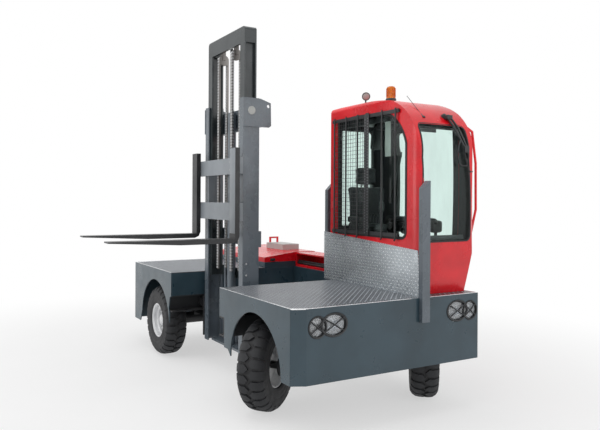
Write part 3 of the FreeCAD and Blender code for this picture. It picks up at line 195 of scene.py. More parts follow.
class Shader(NodeTree):
    """A small builder for one node material on Object coordinates."""

    def __init__(self, name: str) -> None:
        """Start an empty material with its output and principled shader.

        Args:
            name: the material's name.
        """
        self.material = bpy.data.materials.new(name)
        self.material.use_nodes = True
        super().__init__(self.material.node_tree)
        self.tree.nodes.clear()
        self.output = self.node("ShaderNodeOutputMaterial")
        self.surface = self.node("ShaderNodeBsdfPrincipled")
        self.feed(self.output.inputs["Surface"], self.surface.outputs["BSDF"])
        self.coords = self.node("ShaderNodeTexCoord").outputs["Object"]

    def set(self, **values: object) -> None:
        """Link or set sockets of the principled shader; underscores in a name stand for spaces."""
        for key, value in values.items():
            self.feed(self.surface.inputs[key.replace("_", " ")], value)

    def stretched(self, scale: Point) -> Socket:
        """Object coordinates scaled by an amount for each axis."""
        return self.node("ShaderNodeMapping", {"Scale": scale, "Vector": self.coords}).outputs["Vector"]

    def noise(self, scale: float, detail: float = 4.0, rough: float = 0.55,
              coords: Socket | None = None) -> Socket:
        """Fractal noise of scale cells per metre, on the object's own coordinates when none are given."""
        inputs = {"Scale": scale, "Detail": detail, "Roughness": rough, "Vector": coords or self.coords}
        return self.node("ShaderNodeTexNoise", inputs).outputs["Fac"]

    def ramp(self, source: Socket, low: float, high: float, start: float = 0.0, end: float = 1.0) -> Socket:
        """Map a factor from the span low to high onto the span start to end, clamped."""
        inputs = {"From Min": low, "From Max": high, "To Min": start, "To Max": end, "Value": source}
        return self.node("ShaderNodeMapRange", inputs).outputs["Result"]

    def mix(self, factor: Socket, first: object, second: object) -> Socket:
        """Mix two colours.

        Args:
            factor: share of the second.
            first: socket or RGB triple.
            second: socket or RGB triple.

        Returns:
            The mixed colour's socket.
        """
        made = self.node("ShaderNodeMix", {"Factor": factor}, data_type="RGBA")
        for target, colour in ((made.inputs[6], first), (made.inputs[7], second)):
            self.feed(target, colour if isinstance(colour, bpy.types.NodeSocket) else (*colour, 1.0))
        return made.outputs[2]

    def level(self) -> Socket:
        """Upward component of the surface normal."""
        normal = self.node("ShaderNodeNewGeometry").outputs["Normal"]
        return self.node("ShaderNodeSeparateXYZ", {0: normal}).outputs["Z"]

    def edges(self, radius: float) -> tuple[Socket, Socket]:
        """Soften edges and find them.

        Args:
            radius: rounding radius in metres.

        Returns:
            The rounded normal, and a mask that rises towards sharp edges.
        """
        bent = self.node("ShaderNodeBevel", {"Radius": radius}, samples=4).outputs["Normal"]
        flat = self.node("ShaderNodeNewGeometry").outputs["Normal"]
        match = self.node("ShaderNodeVectorMath", {0: bent, 1: flat}, operation="DOT_PRODUCT")
        return bent, self.ramp(match.outputs["Value"], 0.99, 0.80)

    def bump(self, height: Socket, depth: float, strength: float = 1.0,
             normal: Socket | None = None) -> Socket:
        """Bend the normal by a height.

        Args:
            height: the height factor.
            depth: metres for a factor of 1.
            strength: share of the effect.
            normal: normal to start from, the surface's own when left out.

        Returns:
            The bent normal's socket.
        """
        inputs = {"Strength": strength, "Distance": depth, "Height": height}
        if normal is not None:
            inputs["Normal"] = normal
        return self.node("ShaderNodeBump", inputs).outputs["Normal"]


def shaded(colour: Colour, factor: float, lift: float = 0.0) -> Colour:
    """A colour times a factor, plus a lift, capped at 1."""
    return tuple(min(1.0, c * factor + lift) for c in colour)


@dataclass(frozen=True)
class GlossPaint:
    """Sprayed machine paint with orange peel, soft dust on level faces and lightened edges that are partly
    rubbed wear and partly a painted highlight.
    """

    name: str
    colour: Colour
    roughness: float = 0.32
    coat: float = 0.25
    dust: float = 0.18
    # share of the lightening along edges: partly rubbed wear, partly a painted highlight
    edge: float = 0.35
    edge_radius: float = 0.004
    grime: Colour = (0.42, 0.40, 0.37)

    def build(self) -> bpy.types.Material:
        """Make the material.

        Returns:
            The material.
        """
        s = Shader(self.name)
        s.set(Coat_Weight=self.coat, Coat_Roughness=0.12, Metallic=0.0)
        normal, edge = s.edges(self.edge_radius)
        cloud = s.noise(2.3, 3.0)
        tone = s.mix(s.ramp(cloud, 0.35, 0.65), shaded(self.colour, 0.84), shaded(self.colour, 1.12, 0.004))
        dusty = tuple(0.5 * c + 0.5 * d for c, d in zip(self.colour, self.grime))
        settled = s.maths("MULTIPLY", s.ramp(s.level(), 0.55, 1.0), s.ramp(s.noise(9.0, 6.0), 0.42, 0.75))
        tone = s.mix(s.maths("MULTIPLY", settled, self.dust), tone, dusty)
        # edges painted lighter: partly rubbed wear, partly a painted highlight along the edges
        worn_and_highlit = s.maths("MULTIPLY", edge, s.ramp(s.noise(23.0, 5.0), 0.30, 0.62, 0.25, 1.0))
        tone = s.mix(s.maths("MULTIPLY", worn_and_highlit, self.edge), tone, shaded(self.colour, 1.6, 0.10))
        rough = s.ramp(s.noise(6.0, 5.0), 0.3, 0.7, self.roughness - 0.06, self.roughness + 0.10)
        peel = s.bump(s.noise(110.0, 2.0), 0.00030, 0.08, normal)
        s.set(Base_Color=tone, Roughness=rough, Normal=peel)
        return s.material


class Grain(Enum):
    """Stretch of a metal's scratches along each axis."""

    UPRIGHT = (3.0, 3.0, 90.0)
    SHORT = (20.0, 20.0, 20.0)
    ACROSS = (20.0, 2.0, 20.0)
    FINE = (30.0, 30.0, 30.0)
    COARSE = (8.0, 8.0, 8.0)
    SMOOTH = (10.0, 10.0, 10.0)
    ROD = (60.0, 60.0, 1.0)
    PIPE = (50.0, 50.0, 2.0)


@dataclass(frozen=True)
class ScuffedMetal:
    """Bare or thinly painted metal with drawn scratches."""

    name: str
    colour: Colour
    metallic: float = 1.0
    roughness: float = 0.35
    grain: Grain = Grain.UPRIGHT
    stain: float = 0.35
    edge_radius: float = 0.002

    def build(self) -> bpy.types.Material:
        """Make the material.

        Returns:
            The material.
        """
        s = Shader(self.name)
        s.set(Metallic=self.metallic)
        normal, edge = s.edges(self.edge_radius)
        drawn = s.noise(6.0, 6.0, 0.7, s.stretched(self.grain.value))
        blotch = s.ramp(s.noise(5.0, 5.0), 0.42, 0.68)
        bright = shaded(self.colour, 1.25, 0.01)
        tone = s.mix(s.ramp(drawn, 0.3, 0.7), shaded(self.colour, 0.86), bright)
        tone = s.mix(s.maths("MULTIPLY", blotch, self.stain), tone, shaded(self.colour, 0.62))
        # edges painted lighter: partly wear, partly a painted highlight along the edges
        tone = s.mix(s.maths("MULTIPLY", edge, 0.5), tone, bright)
        rough = s.ramp(drawn, 0.25, 0.75, self.roughness - 0.08, self.roughness + 0.14)
        s.set(Base_Color=tone, Roughness=rough, Normal=s.bump(drawn, 0.0002, 0.3, normal))
        return s.material


@dataclass(frozen=True)
class Rubber:
    """Black rubber with a fine grain and a little pale dust."""

    name: str
    colour: Colour = (0.022, 0.022, 0.024)
    dust: float = 0.30
    roughness: float = 0.62

    def build(self) -> bpy.types.Material:
        """Make the material.

        Returns:
            The material.
        """
        s = Shader(self.name)
        s.set(Specular_IOR_Level=0.4)
        fine = s.noise(260.0, 3.0)
        patch = s.ramp(s.noise(7.0, 6.0), 0.38, 0.72)
        tone = s.mix(s.maths("MULTIPLY", patch, self.dust), self.colour, shaded(self.colour, 1.0, 0.075))
        rough = s.ramp(s.noise(14.0, 4.0), 0.3, 0.7, self.roughness - 0.08, self.roughness + 0.16)
        s.set(Base_Color=tone, Roughness=rough, Normal=s.bump(fine, 0.0004, 0.5))
        return s.material


@dataclass(frozen=True)
class Moulded:
    """Moulded plastic or trim with a fine pebble."""

    name: str
    colour: Colour
    roughness: float = 0.5
    pebble: float = 320.0

    def build(self) -> bpy.types.Material:
        """Make the material.

        Returns:
            The material.
        """
        s = Shader(self.name)
        cells = s.node("ShaderNodeTexVoronoi", {"Scale": self.pebble, "Vector": s.coords})
        cloud = s.ramp(s.noise(8.0, 5.0), 0.3, 0.7)
        tone = s.mix(cloud, shaded(self.colour, 0.82), shaded(self.colour, 1.15, 0.004))
        rough = s.ramp(cloud, 0.0, 1.0, self.roughness - 0.05, self.roughness + 0.08)
        s.set(Base_Color=tone, Roughness=rough, Normal=s.bump(cells.outputs["Distance"], 0.0004, 0.4))
        return s.material


@dataclass(frozen=True)
class TintedGlass:
    """Clear pane with a light tint and faint streaks; a low index keeps the view through it straight."""

    name: str
    tint: Colour = (0.84, 0.94, 0.91)
    thin: float = 1.22
    roughness: float = 0.0

    def build(self) -> bpy.types.Material:
        """Make the material.

        Returns:
            The material.
        """
        s = Shader(self.name)
        s.set(Transmission_Weight=1.0, IOR=self.thin)
        streak = s.noise(4.0, 5.0, 0.6, s.stretched((1.0, 1.0, 0.35)))
        tone = s.mix(s.ramp(streak, 0.35, 0.7), self.tint, shaded(self.tint, 0.93))
        s.set(Base_Color=tone, Roughness=s.ramp(streak, 0.3, 0.8, self.roughness, self.roughness + 0.02))
        return s.material


@dataclass(frozen=True)
class Lens:
    """Ribbed clear or coloured lamp lens."""

    name: str
    colour: Colour
    transmission: float = 0.85
    ribs: float = 30.0

    def build(self) -> bpy.types.Material:
        """Make the material.

        Returns:
            The material.
        """
        s = Shader(self.name)
        s.set(Transmission_Weight=self.transmission, IOR=1.46)
        wave = s.node("ShaderNodeTexWave", {"Scale": self.ribs, "Vector": s.coords}, bands_direction="Y")
        cloud = s.ramp(s.noise(30.0, 3.0), 0.3, 0.7)
        tone = s.mix(cloud, self.colour, shaded(self.colour, 0.9))
        s.set(Base_Color=tone, Roughness=s.ramp(cloud, 0.0, 1.0, 0.04, 0.12),
               Normal=s.bump(wave.outputs["Fac"], 0.0006, 0.5))
        return s.material


@dataclass(frozen=True)
class SeatCloth:
    """Woven seat cover with a soft sheen."""

    name: str
    colour: Colour = (0.018, 0.019, 0.022)
    weave: float = 130.0

    def build(self) -> bpy.types.Material:
        """Make the material.

        Returns:
            The material.
        """
        s = Shader(self.name)
        s.set(Sheen_Weight=0.25, Sheen_Roughness=0.5)
        heights = []
        for direction in ("X", "Z"):
            wave = s.node("ShaderNodeTexWave", {"Scale": self.weave, "Vector": s.coords},
                          bands_direction=direction)
            heights.append(wave.outputs["Fac"])
        weave = s.maths("MULTIPLY", *heights)
        tone = s.mix(s.ramp(weave, 0.1, 0.8), self.colour, shaded(self.colour, 2.2))
        s.set(Base_Color=tone, Roughness=s.ramp(s.noise(20.0), 0.3, 0.7, 0.72, 0.9),
               Normal=s.bump(weave, 0.0006, 0.6))
        return s.material


class Paints:
    """Every finish of the truck, made once and kept by name."""

    RECIPES = (
        GlossPaint("body_grey", (0.028, 0.058, 0.078), roughness=0.30, coat=0.15),
        GlossPaint("mast_grey", (0.120, 0.146, 0.172), roughness=0.27, coat=0.25, dust=0.06),
        GlossPaint("rail_dark", (0.022, 0.030, 0.033), roughness=0.30, coat=0.10, dust=0.06),
        GlossPaint("cab_red", (0.84, 0.006, 0.016), roughness=0.22, coat=0.12, dust=0.03, edge=0.22),
        GlossPaint("carriage_grey", (0.25, 0.275, 0.30), roughness=0.40, coat=0.10, dust=0.10),
        GlossPaint("fork_black", (0.014, 0.015, 0.017), roughness=0.40, coat=0.05, dust=0.10),
        GlossPaint("guard_black", (0.016, 0.017, 0.019), roughness=0.38, coat=0.10, dust=0.05),
        GlossPaint("pierced_grey", (0.150, 0.160, 0.170), roughness=0.38, coat=0.10, dust=0.05),
        GlossPaint("rim_silver", (0.92, 0.93, 0.95), roughness=0.30, coat=0.2, dust=0.10),
        GlossPaint("under_black", (0.012, 0.013, 0.015), roughness=0.5, coat=0.0, dust=0.35),
        GlossPaint("box_pale", (0.52, 0.53, 0.51), roughness=0.42, coat=0.1),
        ScuffedMetal("deck_dark", (0.072, 0.081, 0.092), metallic=0.5, roughness=0.34, grain=Grain.SHORT),
        ScuffedMetal("skirt_bright", (0.50, 0.54, 0.57), metallic=0.8, roughness=0.25, grain=Grain.ACROSS),
        ScuffedMetal("stud_worn", (0.42, 0.445, 0.48), metallic=0.7, roughness=0.30, grain=Grain.SHORT),
        # also worn by the platform nosing, where its brightness is a painted highlight
        ScuffedMetal("stud_bright", (0.78, 0.80, 0.82), metallic=0.8, roughness=0.24, grain=Grain.ACROSS),
        ScuffedMetal("polished_rod", (0.80, 0.81, 0.83), roughness=0.12, grain=Grain.ROD, stain=0.1),
        ScuffedMetal("chain_steel", (0.23, 0.22, 0.21), roughness=0.42, grain=Grain.FINE),
        ScuffedMetal("bolt_zinc", (0.50, 0.51, 0.52), roughness=0.35, grain=Grain.FINE),
        ScuffedMetal("tube_grey", (0.52, 0.54, 0.56), roughness=0.34, grain=Grain.PIPE, metallic=0.6),
        ScuffedMetal("cast_dark", (0.055, 0.055, 0.058), metallic=0.3, roughness=0.6, grain=Grain.COARSE),
        ScuffedMetal("mirror_bowl", (0.90, 0.91, 0.93), roughness=0.08, grain=Grain.SMOOTH, stain=0.05),
        ScuffedMetal("bowl_grey", (0.42, 0.44, 0.46), roughness=0.22, grain=Grain.SMOOTH, stain=0.05),
        Rubber("tyre_rubber"),
        Rubber("tread_rubber", (0.022, 0.023, 0.026), dust=0.25),
        Rubber("seal_rubber", (0.014, 0.014, 0.015), dust=0.08, roughness=0.5),
        Rubber("hose_rubber", (0.012, 0.012, 0.013), dust=0.15, roughness=0.42),
        Moulded("trim_black", (0.020, 0.021, 0.023), roughness=0.45),
        Moulded("console_grey", (0.055, 0.060, 0.064), roughness=0.55),
        # near black: on the cab and door linings it also paints the shade inside the cab
        Moulded("liner_grey", (0.016, 0.017, 0.019), roughness=0.6, pebble=150.0),
        TintedGlass("glazing"),
        Lens("lamp_clear", (0.94, 0.96, 0.98)),
        Lens("beacon_amber", (1.0, 0.27, 0.005), transmission=0.55),
        Lens("lamp_red", (0.65, 0.01, 0.01), transmission=0.3),
        SeatCloth("seat_cloth"),
    )

    def __init__(self) -> None:
        """Build every finish."""
        self.made = {recipe.name: recipe.build() for recipe in self.RECIPES}

    def __getitem__(self, name: str) -> bpy.types.Material:
        """Finish by name."""
        return self.made[name]


# ------ mesh building


def linked(name: str, data: bpy.types.ID) -> Piece:
    """Add a scene object at the origin.

    Args:
        name: its name.
        data: what it holds.

    Returns:
        The object.
    """
    made = bpy.data.objects.new(name, data)
    bpy.context.scene.collection.objects.link(made)
    return made


def evaluated_mesh(host: Piece) -> bpy.types.Mesh:
    """Plain copy of the mesh that an object's modifiers give."""
    return bpy.data.meshes.new_from_object(host.evaluated_get(bpy.context.evaluated_depsgraph_get()))


def along(origin: Point, direction: Point) -> Matrix:
    """Transform that puts the local Z axis on a line through origin."""
    turn = Vector(direction).normalized().to_track_quat("Z", "Y").to_matrix().to_4x4()
    return Matrix.Translation(Vector(origin)) @ turn


def circle(steps: int) -> list[Flat]:
    """Cosine and sine of equal steps round a circle."""
    return [(math.cos(a), math.sin(a)) for a in (2 * math.pi * k / steps for k in range(steps))]


def rounded(points: Sequence[Point], reach: float, spans: int = 6, closed: bool = False) -> list[Vector]:
    """Round the corners of a line with quadratic arcs.

    Args:
        points: corner points.
        reach: length of each arc's legs; sharp corners when zero.
        spans: straight spans of each arc.
        closed: a loop; an open line keeps its two ends.

    Returns:
        Points of the rounded line.
    """
    corners = [Vector(p) for p in points]
    if reach <= 0 or len(corners) < 3:
        return corners
    line: list[Vector] = []
    for k, here in enumerate(corners):
        if not closed and k in (0, len(corners) - 1):
            line.append(here)
            continue
        sides = [side - here for side in (corners[k - 1], corners[(k + 1) % len(corners)])]
        leg = min(reach, *(side.length * LONGEST_LEG for side in sides))
        start, end = (here + side.normalized() * leg for side in sides)
        for t in (j / spans for j in range(spans + 1)):
            line.append(start * (1 - t) ** 2 + here * 2 * t * (1 - t) + end * t * t)
    return line


class Form:
    """A growing mesh; each method that adds to it returns the form itself."""

    def __init__(self, bm: Mesh | None = None) -> None:
        """Start from a bmesh, or empty."""
        self.bm: Mesh = bmesh.new() if bm is None else bm

    def absorb(self, part: Mesh, place: Matrix | None = None, bevel: float = 0.0) -> Form:
        """Append a bmesh and free it.

        Args:
            part: the bmesh.
            place: transform given to it first.
            bevel: rounding of all its edges, in metres.

        Returns:
            The form.
        """
        if place is not None:
            bmesh.ops.transform(part, matrix=place, verts=part.verts)
        if bevel > 0:
            bmesh.ops.recalc_face_normals(part, faces=part.faces)
            bmesh.ops.bevel(part, geom=part.edges, offset=bevel, segments=2, affect="EDGES", profile=0.5)
        scratch = bpy.data.meshes.new("scratch")
        part.to_mesh(scratch)
        part.free()
        self.bm.from_mesh(scratch)
        bpy.data.meshes.remove(scratch)
        return self

    def skin(self, rings: Sequence[Sequence[Point]], closed: bool = False, place: Matrix | None = None,
             bevel: float = 0.0) -> Form:
        """Join rings of points one after the other.

        Args:
            rings: the rings; one of a single point closes to a tip.
            closed: join the last ring to the first; both ends are capped otherwise.
            place: transform given to the new part.
            bevel: rounding of its edges, in metres.

        Returns:
            The form.
        """
        part = bmesh.new()
        grid = [[part.verts.new(p) for p in ring] for ring in rings]
        for first, second in zip(grid, grid[1:] + (grid[:1] if closed else [])):
            steps = max(len(first), len(second))
            for k, n in ((k, (k + 1) % steps) for k in range(steps)):
                corners = dict.fromkeys((first[k % len(first)], first[n % len(first)],
                                         second[n % len(second)], second[k % len(second)]))
                if len(corners) > 2:
                    part.faces.new(list(corners))
        for end in () if closed else (grid[0], grid[-1]):
            if len(end) > 1:
                part.faces.new(end)
        return self.absorb(part, place, bevel)

    def box(self, low: Point, high: Point, bevel: float = 0.0) -> Form:
        """Add a box.

        Args:
            low: its low corner.
            high: its high corner.
            bevel: rounding of its edges, in metres.

        Returns:
            The form.
        """
        part = bmesh.new()
        bmesh.ops.create_cube(part, size=1.0)
        size, middle = Vector(high) - Vector(low), (Vector(high) + Vector(low)) / 2
        return self.absorb(part, Matrix.Translation(middle) @ Matrix.Diagonal((*size, 1.0)), bevel)

    def turning(self, profile: Sequence[Flat], centre: Point, direction: Point, steps: int = 32) -> Form:
        """Add a turned solid from (distance along the axis, radius) stations; a zero radius is a tip."""
        rings = [[(r * c, r * s, a) for c, s in circle(steps if r > 0 else 1)] for a, r in profile]
        return self.skin(rings, place=along(centre, direction))

    def ring(self, section: Sequence[Flat], centre: Point, direction: Point, steps: int = 48) -> Form:
        """Add a closed ring whose section is a loop of (distance along the axis, radius)."""
        rings = [[(r * c, r * s, a) for a, r in section] for c, s in circle(steps)]
        return self.skin(rings, True, along(centre, direction))

    def tube(self, points: Sequence[Point], radius: float, bend: float = 0.0, steps: int = 12) -> Form:
        """Add a round tube along straight runs joined by bends.

        Args:
            points: corner points of the route.
            radius: tube radius.
            bend: bend radius at the corners; sharp when zero.
            steps: facets round the tube.

        Returns:
            The form.
        """
        path = rounded(points, bend)
        rings = []
        side = Vector(Axis.Z.value)
        for before, place, after in zip(path[:1] + path, path, path[1:] + path[-1:]):
            ahead = (after - before).normalized()
            side -= ahead * side.dot(ahead)
            if side.length < 1e-4:
                side = ahead.orthogonal()
            side.normalize()
            other = ahead.cross(side)
            rings.append([place + radius * (side * c + other * s) for c, s in circle(steps)])
        return self.skin(rings)

    def plate(self, outline: Sequence[Flat], plane: Plane, span: Flat, bevel: float = 0.0,
              corner: float = 0.0) -> Form:
        """Add a flat plate from an outline in one plane.

        Args:
            outline: corners in the plane's two axes.
            plane: the outline's plane.
            span: places of the two faces on the third axis.
            bevel: rounding of every edge.
            corner: rounding of the outline's own corners.

        Returns:
            The form.
        """
        line = rounded(outline, corner, 5, True)
        order = plane.value
        rings = []
        for third in span:
            spots = ((*pair, third) for pair in line)
            rings.append([tuple(spot[order.index(axis)] for axis in range(3)) for spot in spots])
        return self.skin(rings, bevel=bevel)

    def settle(self, name: str, smooth: float) -> Piece:
        """Turn the form into a linked object at the origin.

        Args:
            name: object name.
            smooth: angle in degrees under which edges shade smooth.

        Returns:
            The new object.
        """
        bmesh.ops.recalc_face_normals(self.bm, faces=self.bm.faces)
        limit = math.radians(smooth)
        for face in self.bm.faces:
            face.smooth = True
        for edge in self.bm.edges:
            edge.smooth = len(edge.link_faces) == 2 and edge.calc_face_angle(0.0) < limit
        mesh = bpy.data.meshes.new(name)
        self.bm.to_mesh(mesh)
        self.bm.free()
        return linked(name, mesh)


# ------ geometry node recipes


class Recipe(NodeTree):
    """A Geometry Nodes tree with named inputs, turned into a plain mesh."""

    def __init__(self, name: str) -> None:
        """Start a tree with its geometry output.

        Args:
            name: the tree's name.
        """
        super().__init__(bpy.data.node_groups.new(name, "GeometryNodeTree"))
        self.tree.interface.new_socket("Geometry", in_out="OUTPUT", socket_type="NodeSocketGeometry")
        self.entry = self.node("NodeGroupInput")
        self.keys: dict[str, str] = {}

    def entrance(self, name: str, kind: str = "Float", default: float | None = 0.0) -> Socket:
        """Declare an input of the tree.

        Args:
            name: its name.
            kind: Float, Int or Object.
            default: its value when none is given; none for an object.

        Returns:
            The input's socket inside the tree.
        """
        made = self.tree.interface.new_socket(name, in_out="INPUT", socket_type="NodeSocket" + kind)
        if default is not None:
            made.default_value = default
        self.keys[name] = made.identifier
        return next(s for s in self.entry.outputs if s.identifier == made.identifier)

    def times(self, first: object, second: object) -> Socket:
        """Product of two sockets or numbers."""
        return self.maths("MULTIPLY", first, second)

    def vector(self, *parts: object) -> Socket:
        """Combine up to three sockets or numbers; what is left out is zero."""
        return self.node("ShaderNodeCombineXYZ", dict(enumerate(parts))).outputs[0]

    def source(self, shape: Socket) -> Socket:
        """Geometry of an object input."""
        return self.node("GeometryNodeObjectInfo", {"Object": shape}).outputs["Geometry"]

    def placed(self, points: Socket, instance: Socket, **more: Socket) -> Socket:
        """Instances of a geometry on points."""
        inputs = {"Points": points, "Instance": instance, **more}
        return self.node("GeometryNodeInstanceOnPoints", inputs).outputs[0]

    def close(self, geometry: Socket) -> None:
        """End the tree in Realize Instances and Set Material.

        Args:
            geometry: what the tree has made.
        """
        realized = self.node("GeometryNodeRealizeInstances", {0: geometry}).outputs[0]
        self.paint = self.node("GeometryNodeSetMaterial", {"Geometry": realized})
        self.node("NodeGroupOutput", {0: self.paint.outputs[0]})

    def make(self, name: str, material: bpy.types.Material, values: dict[str, object],
             place: Matrix | None = None) -> Piece:
        """Run the tree once.

        Args:
            name: name of the plain mesh object.
            material: finish set inside the tree.
            values: input values by name.
            place: transform baked into the mesh.

        Returns:
            A plain mesh object at the origin.
        """
        self.paint.inputs["Material"].default_value = material
        host = linked(name + "_host", bpy.data.meshes.new(name + "_host"))
        modifier = host.modifiers.new("recipe", "NODES")
        modifier.node_group = self.tree
        for key, value in values.items():
            modifier[self.keys[key]] = value
        bpy.context.view_layer.update()
        mesh = evaluated_mesh(host)
        mesh.name = name
        host.modifiers.clear()
        bpy.data.objects.remove(host)
        if place is not None:
            mesh.transform(place)
        mesh.materials.clear()
        mesh.materials.append(material)
        return linked(name, mesh)


class StudRecipe(Recipe):
    """Raised lozenges of chequered plate on a rectangle that starts at the origin."""

    def __init__(self) -> None:
        """Build the tree."""
        super().__init__("chequer_studs")
        sizes = self.entrance("Length"), self.entrance("Width")
        pitch, long, wide, tall, slope, limit = (self.entrance(name) for name in (
            "Pitch", "Stud Length", "Stud Width", "Stud Height", "Cut Slope", "Cut Height"))
        grid = self.node("GeometryNodeMeshGrid", {"Size X": sizes[0], "Size Y": sizes[1]})
        steps = []
        for size, axis in zip(sizes, "XY"):
            amount = self.maths("FLOOR", self.maths("DIVIDE", size, pitch))
            self.feed(grid.inputs[f"Vertices {axis}"], amount)
            steps.append(self.maths("DIVIDE", size, self.maths("SUBTRACT", amount, 1.0)))
        middle = self.vector(*(self.times(size, 0.5) for size in sizes))
        moved = self.node("GeometryNodeTransform", {"Geometry": grid.outputs["Mesh"], "Translation": middle})
        position = self.node("GeometryNodeInputPosition").outputs[0]
        spot = self.node("ShaderNodeSeparateXYZ", {0: position}).outputs
        over = self.maths("GREATER_THAN", spot["Y"], self.maths("ADD", limit, self.times(spot["X"], slope)))
        kept = self.node("GeometryNodeDeleteGeometry", {"Geometry": moved.outputs[0], "Selection": over},
                         domain="POINT")
        stud = self.node("GeometryNodeMeshCone",
                         {"Vertices": 6, "Radius Top": 0.45, "Radius Bottom": 1.0, "Depth": 1.0})
        scale = self.vector(self.times(long, 0.5), self.times(wide, 0.5), tall)
        shape = self.node("GeometryNodeTransform", {"Geometry": stud.outputs["Mesh"], "Scale": scale})
        cells = (self.maths("ROUND", self.maths("DIVIDE", spot[axis], step))
                 for axis, step in zip("XY", steps))
        odd = self.maths("MODULO", self.maths("ADD", *cells), 2.0)
        turn = self.maths("ADD", math.pi / 4, self.times(odd, math.pi / 2))
        self.close(self.placed(kept.outputs[0], shape.outputs[0], Rotation=self.vector(0.0, 0.0, turn)))


class SpinRecipe(Recipe):
    """Copies of a shape turned about the Z axis."""

    def __init__(self) -> None:
        """Build the tree."""
        super().__init__("spin_copies")
        shape, count = self.entrance("Shape", "Object", None), self.entrance("Count", "Int", 8)
        start = self.entrance("Start Angle")
        line = self.node("GeometryNodeMeshLine", {"Offset": (0, 0, 0), "Count": count})
        index = self.node("GeometryNodeInputIndex").outputs[0]
        angle = self.maths("ADD", start, self.times(index, self.maths("DIVIDE", 2 * math.pi, count)))
        turn = self.vector(0.0, 0.0, angle)
        self.close(self.placed(line.outputs[0], self.source(shape), Rotation=turn))


class RowRecipe(Recipe):
    """Copies of a shape along a straight row."""

    def __init__(self) -> None:
        """Build the tree."""
        super().__init__("row_copies")
        shape, count = self.entrance("Shape", "Object", None), self.entrance("Count", "Int", 5)
        step = self.vector(*(self.entrance(f"Step {axis}") for axis in "XYZ"))
        line = self.node("GeometryNodeMeshLine", {"Count": count, "Offset": step})
        self.close(self.placed(line.outputs[0], self.source(shape)))


class WireRecipe(Recipe):
    """Welded wire mesh in the X-Y plane, starting at the origin."""

    def __init__(self) -> None:
        """Build the tree."""
        super().__init__("welded_wires")
        sizes = self.entrance("Length"), self.entrance("Width")
        pitch, radius = self.entrance("Pitch"), self.entrance("Wire Radius")
        join = self.node("GeometryNodeJoinGeometry")
        ways = ((*sizes, (0, math.pi / 2, 0)), (*reversed(sizes), (math.pi / 2, 0, 0)))
        for axis, (run, across, rotation) in enumerate(ways):
            half = self.times(run, 0.5)
            offset, middle = (self.vector(0.0, pitch), self.vector(half))
            if axis:
                offset, middle = (self.vector(pitch), self.vector(0.0, half))
            wire = self.node("GeometryNodeMeshCylinder", {"Vertices": 5, "Radius": radius, "Depth": run})
            lay = self.node("GeometryNodeTransform", {"Geometry": wire.outputs["Mesh"], "Rotation": rotation,
                                                      "Translation": middle})
            amount = self.maths("ADD", 1.0, self.maths("FLOOR", self.maths("DIVIDE", across, pitch)))
            line = self.node("GeometryNodeMeshLine", {"Count": amount, "Offset": offset})
            self.feed(join.inputs[0], self.placed(line.outputs[0], lay.outputs[0]))
        self.close(join.outputs[0])


# ------ the workshop


@dataclass
class Workshop:
    """The frame, the finishes, the recipes and the count of pieces made."""

    frame: dict
    paints: Paints = field(default_factory=Paints)
    studs: StudRecipe = field(default_factory=StudRecipe)
    spin: SpinRecipe = field(default_factory=SpinRecipe)
    row: RowRecipe = field(default_factory=RowRecipe)
    wires: WireRecipe = field(default_factory=WireRecipe)
    made: int = 0

    def __post_init__(self) -> None:
        """Find the front face and the fork side in the frame."""
        low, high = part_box("front_sides")
        self.front_x, self.side_y = high.x, low.y

    def at(self, x: float, y: float, z: float) -> Vector:
        """Point from metres behind the front face (negative), left of the fork side and over the ground."""
        return Vector((self.front_x + x, self.side_y + y, z))

    def keep(self, piece: Piece, finish: str, body: Body, hidden: Iterable[str] = ()) -> None:
        """Give a piece its finish and its body.

        Args:
            piece: mesh object at the origin.
            finish: finish name.
            body: the body it rides on.
            hidden: construction nodes that it stands for.
        """
        if not piece.data.materials:
            piece.data.materials.append(self.paints[finish])
        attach(piece, body.value)
        if hidden:
            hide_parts(*hidden)
        self.made += 1
        LOG.info("piece %s", piece.name)

    def solid(self, name: str, finish: str, form: Form, smooth: float = 35.0, body: Body = Body.CHASSIS,
              hidden: Iterable[str] = ()) -> None:
        """Keep a form as a piece; its edges shade smooth under smooth degrees."""
        self.keep(form.settle(name, smooth), finish, body, hidden)

    def grown(self, recipe: Recipe, name: str, finish: str, body: Body, values: dict[str, object],
              place: Matrix | None = None) -> None:
        """Run a recipe and keep the result as a piece."""
        self.keep(recipe.make(name, self.paints[finish], values, place), finish, body)

    def copied(self, recipe: Recipe, name: str, finish: str, body: Body, form: Form,
               values: dict[str, object], place: Matrix | None = None, smooth: float = 35.0) -> None:
        """Keep copies of a form, turned about an axis or in a row, as one piece.

        Args:
            recipe: how the copies are laid.
            name: piece name.
            finish: finish name.
            body: the body it rides on.
            form: one copy's mesh.
            values: the recipe's other inputs.
            place: transform baked into the mesh.
            smooth: angle in degrees under which edges shade smooth.
        """
        source = form.settle(name + "_one", smooth)
        self.grown(recipe, name, finish, body, {"Shape": source, **values}, place)
        bpy.data.objects.remove(source)


class Fitting(ABC):
    """A sub-assembly of the truck."""

    def build(self, shop: Workshop) -> None:
        """Make the sub-assembly's pieces in a workshop."""
        self.shop = shop
        self.make()

    @abstractmethod
    def make(self) -> None:
        """Make the pieces."""


# ------ simple pieces listed by size


@dataclass(frozen=True)
class Block:
    """A box between two corners, in metres from the front face, the fork side and the ground."""

    low: Point
    high: Point
    bevel: float = 0.0

    def add(self, shop: Workshop, form: Form) -> None:
        """Add it to a form."""
        form.box(shop.at(*self.low), shop.at(*self.high), self.bevel)


@dataclass(frozen=True)
class Pipe:
    """A tube along a route, in the same measures."""

    route: tuple[Point, ...]
    radius: float
    bend: float = 0.0

    def add(self, shop: Workshop, form: Form) -> None:
        """Add it to a form."""
        form.tube([shop.at(*p) for p in self.route], self.radius, self.bend)


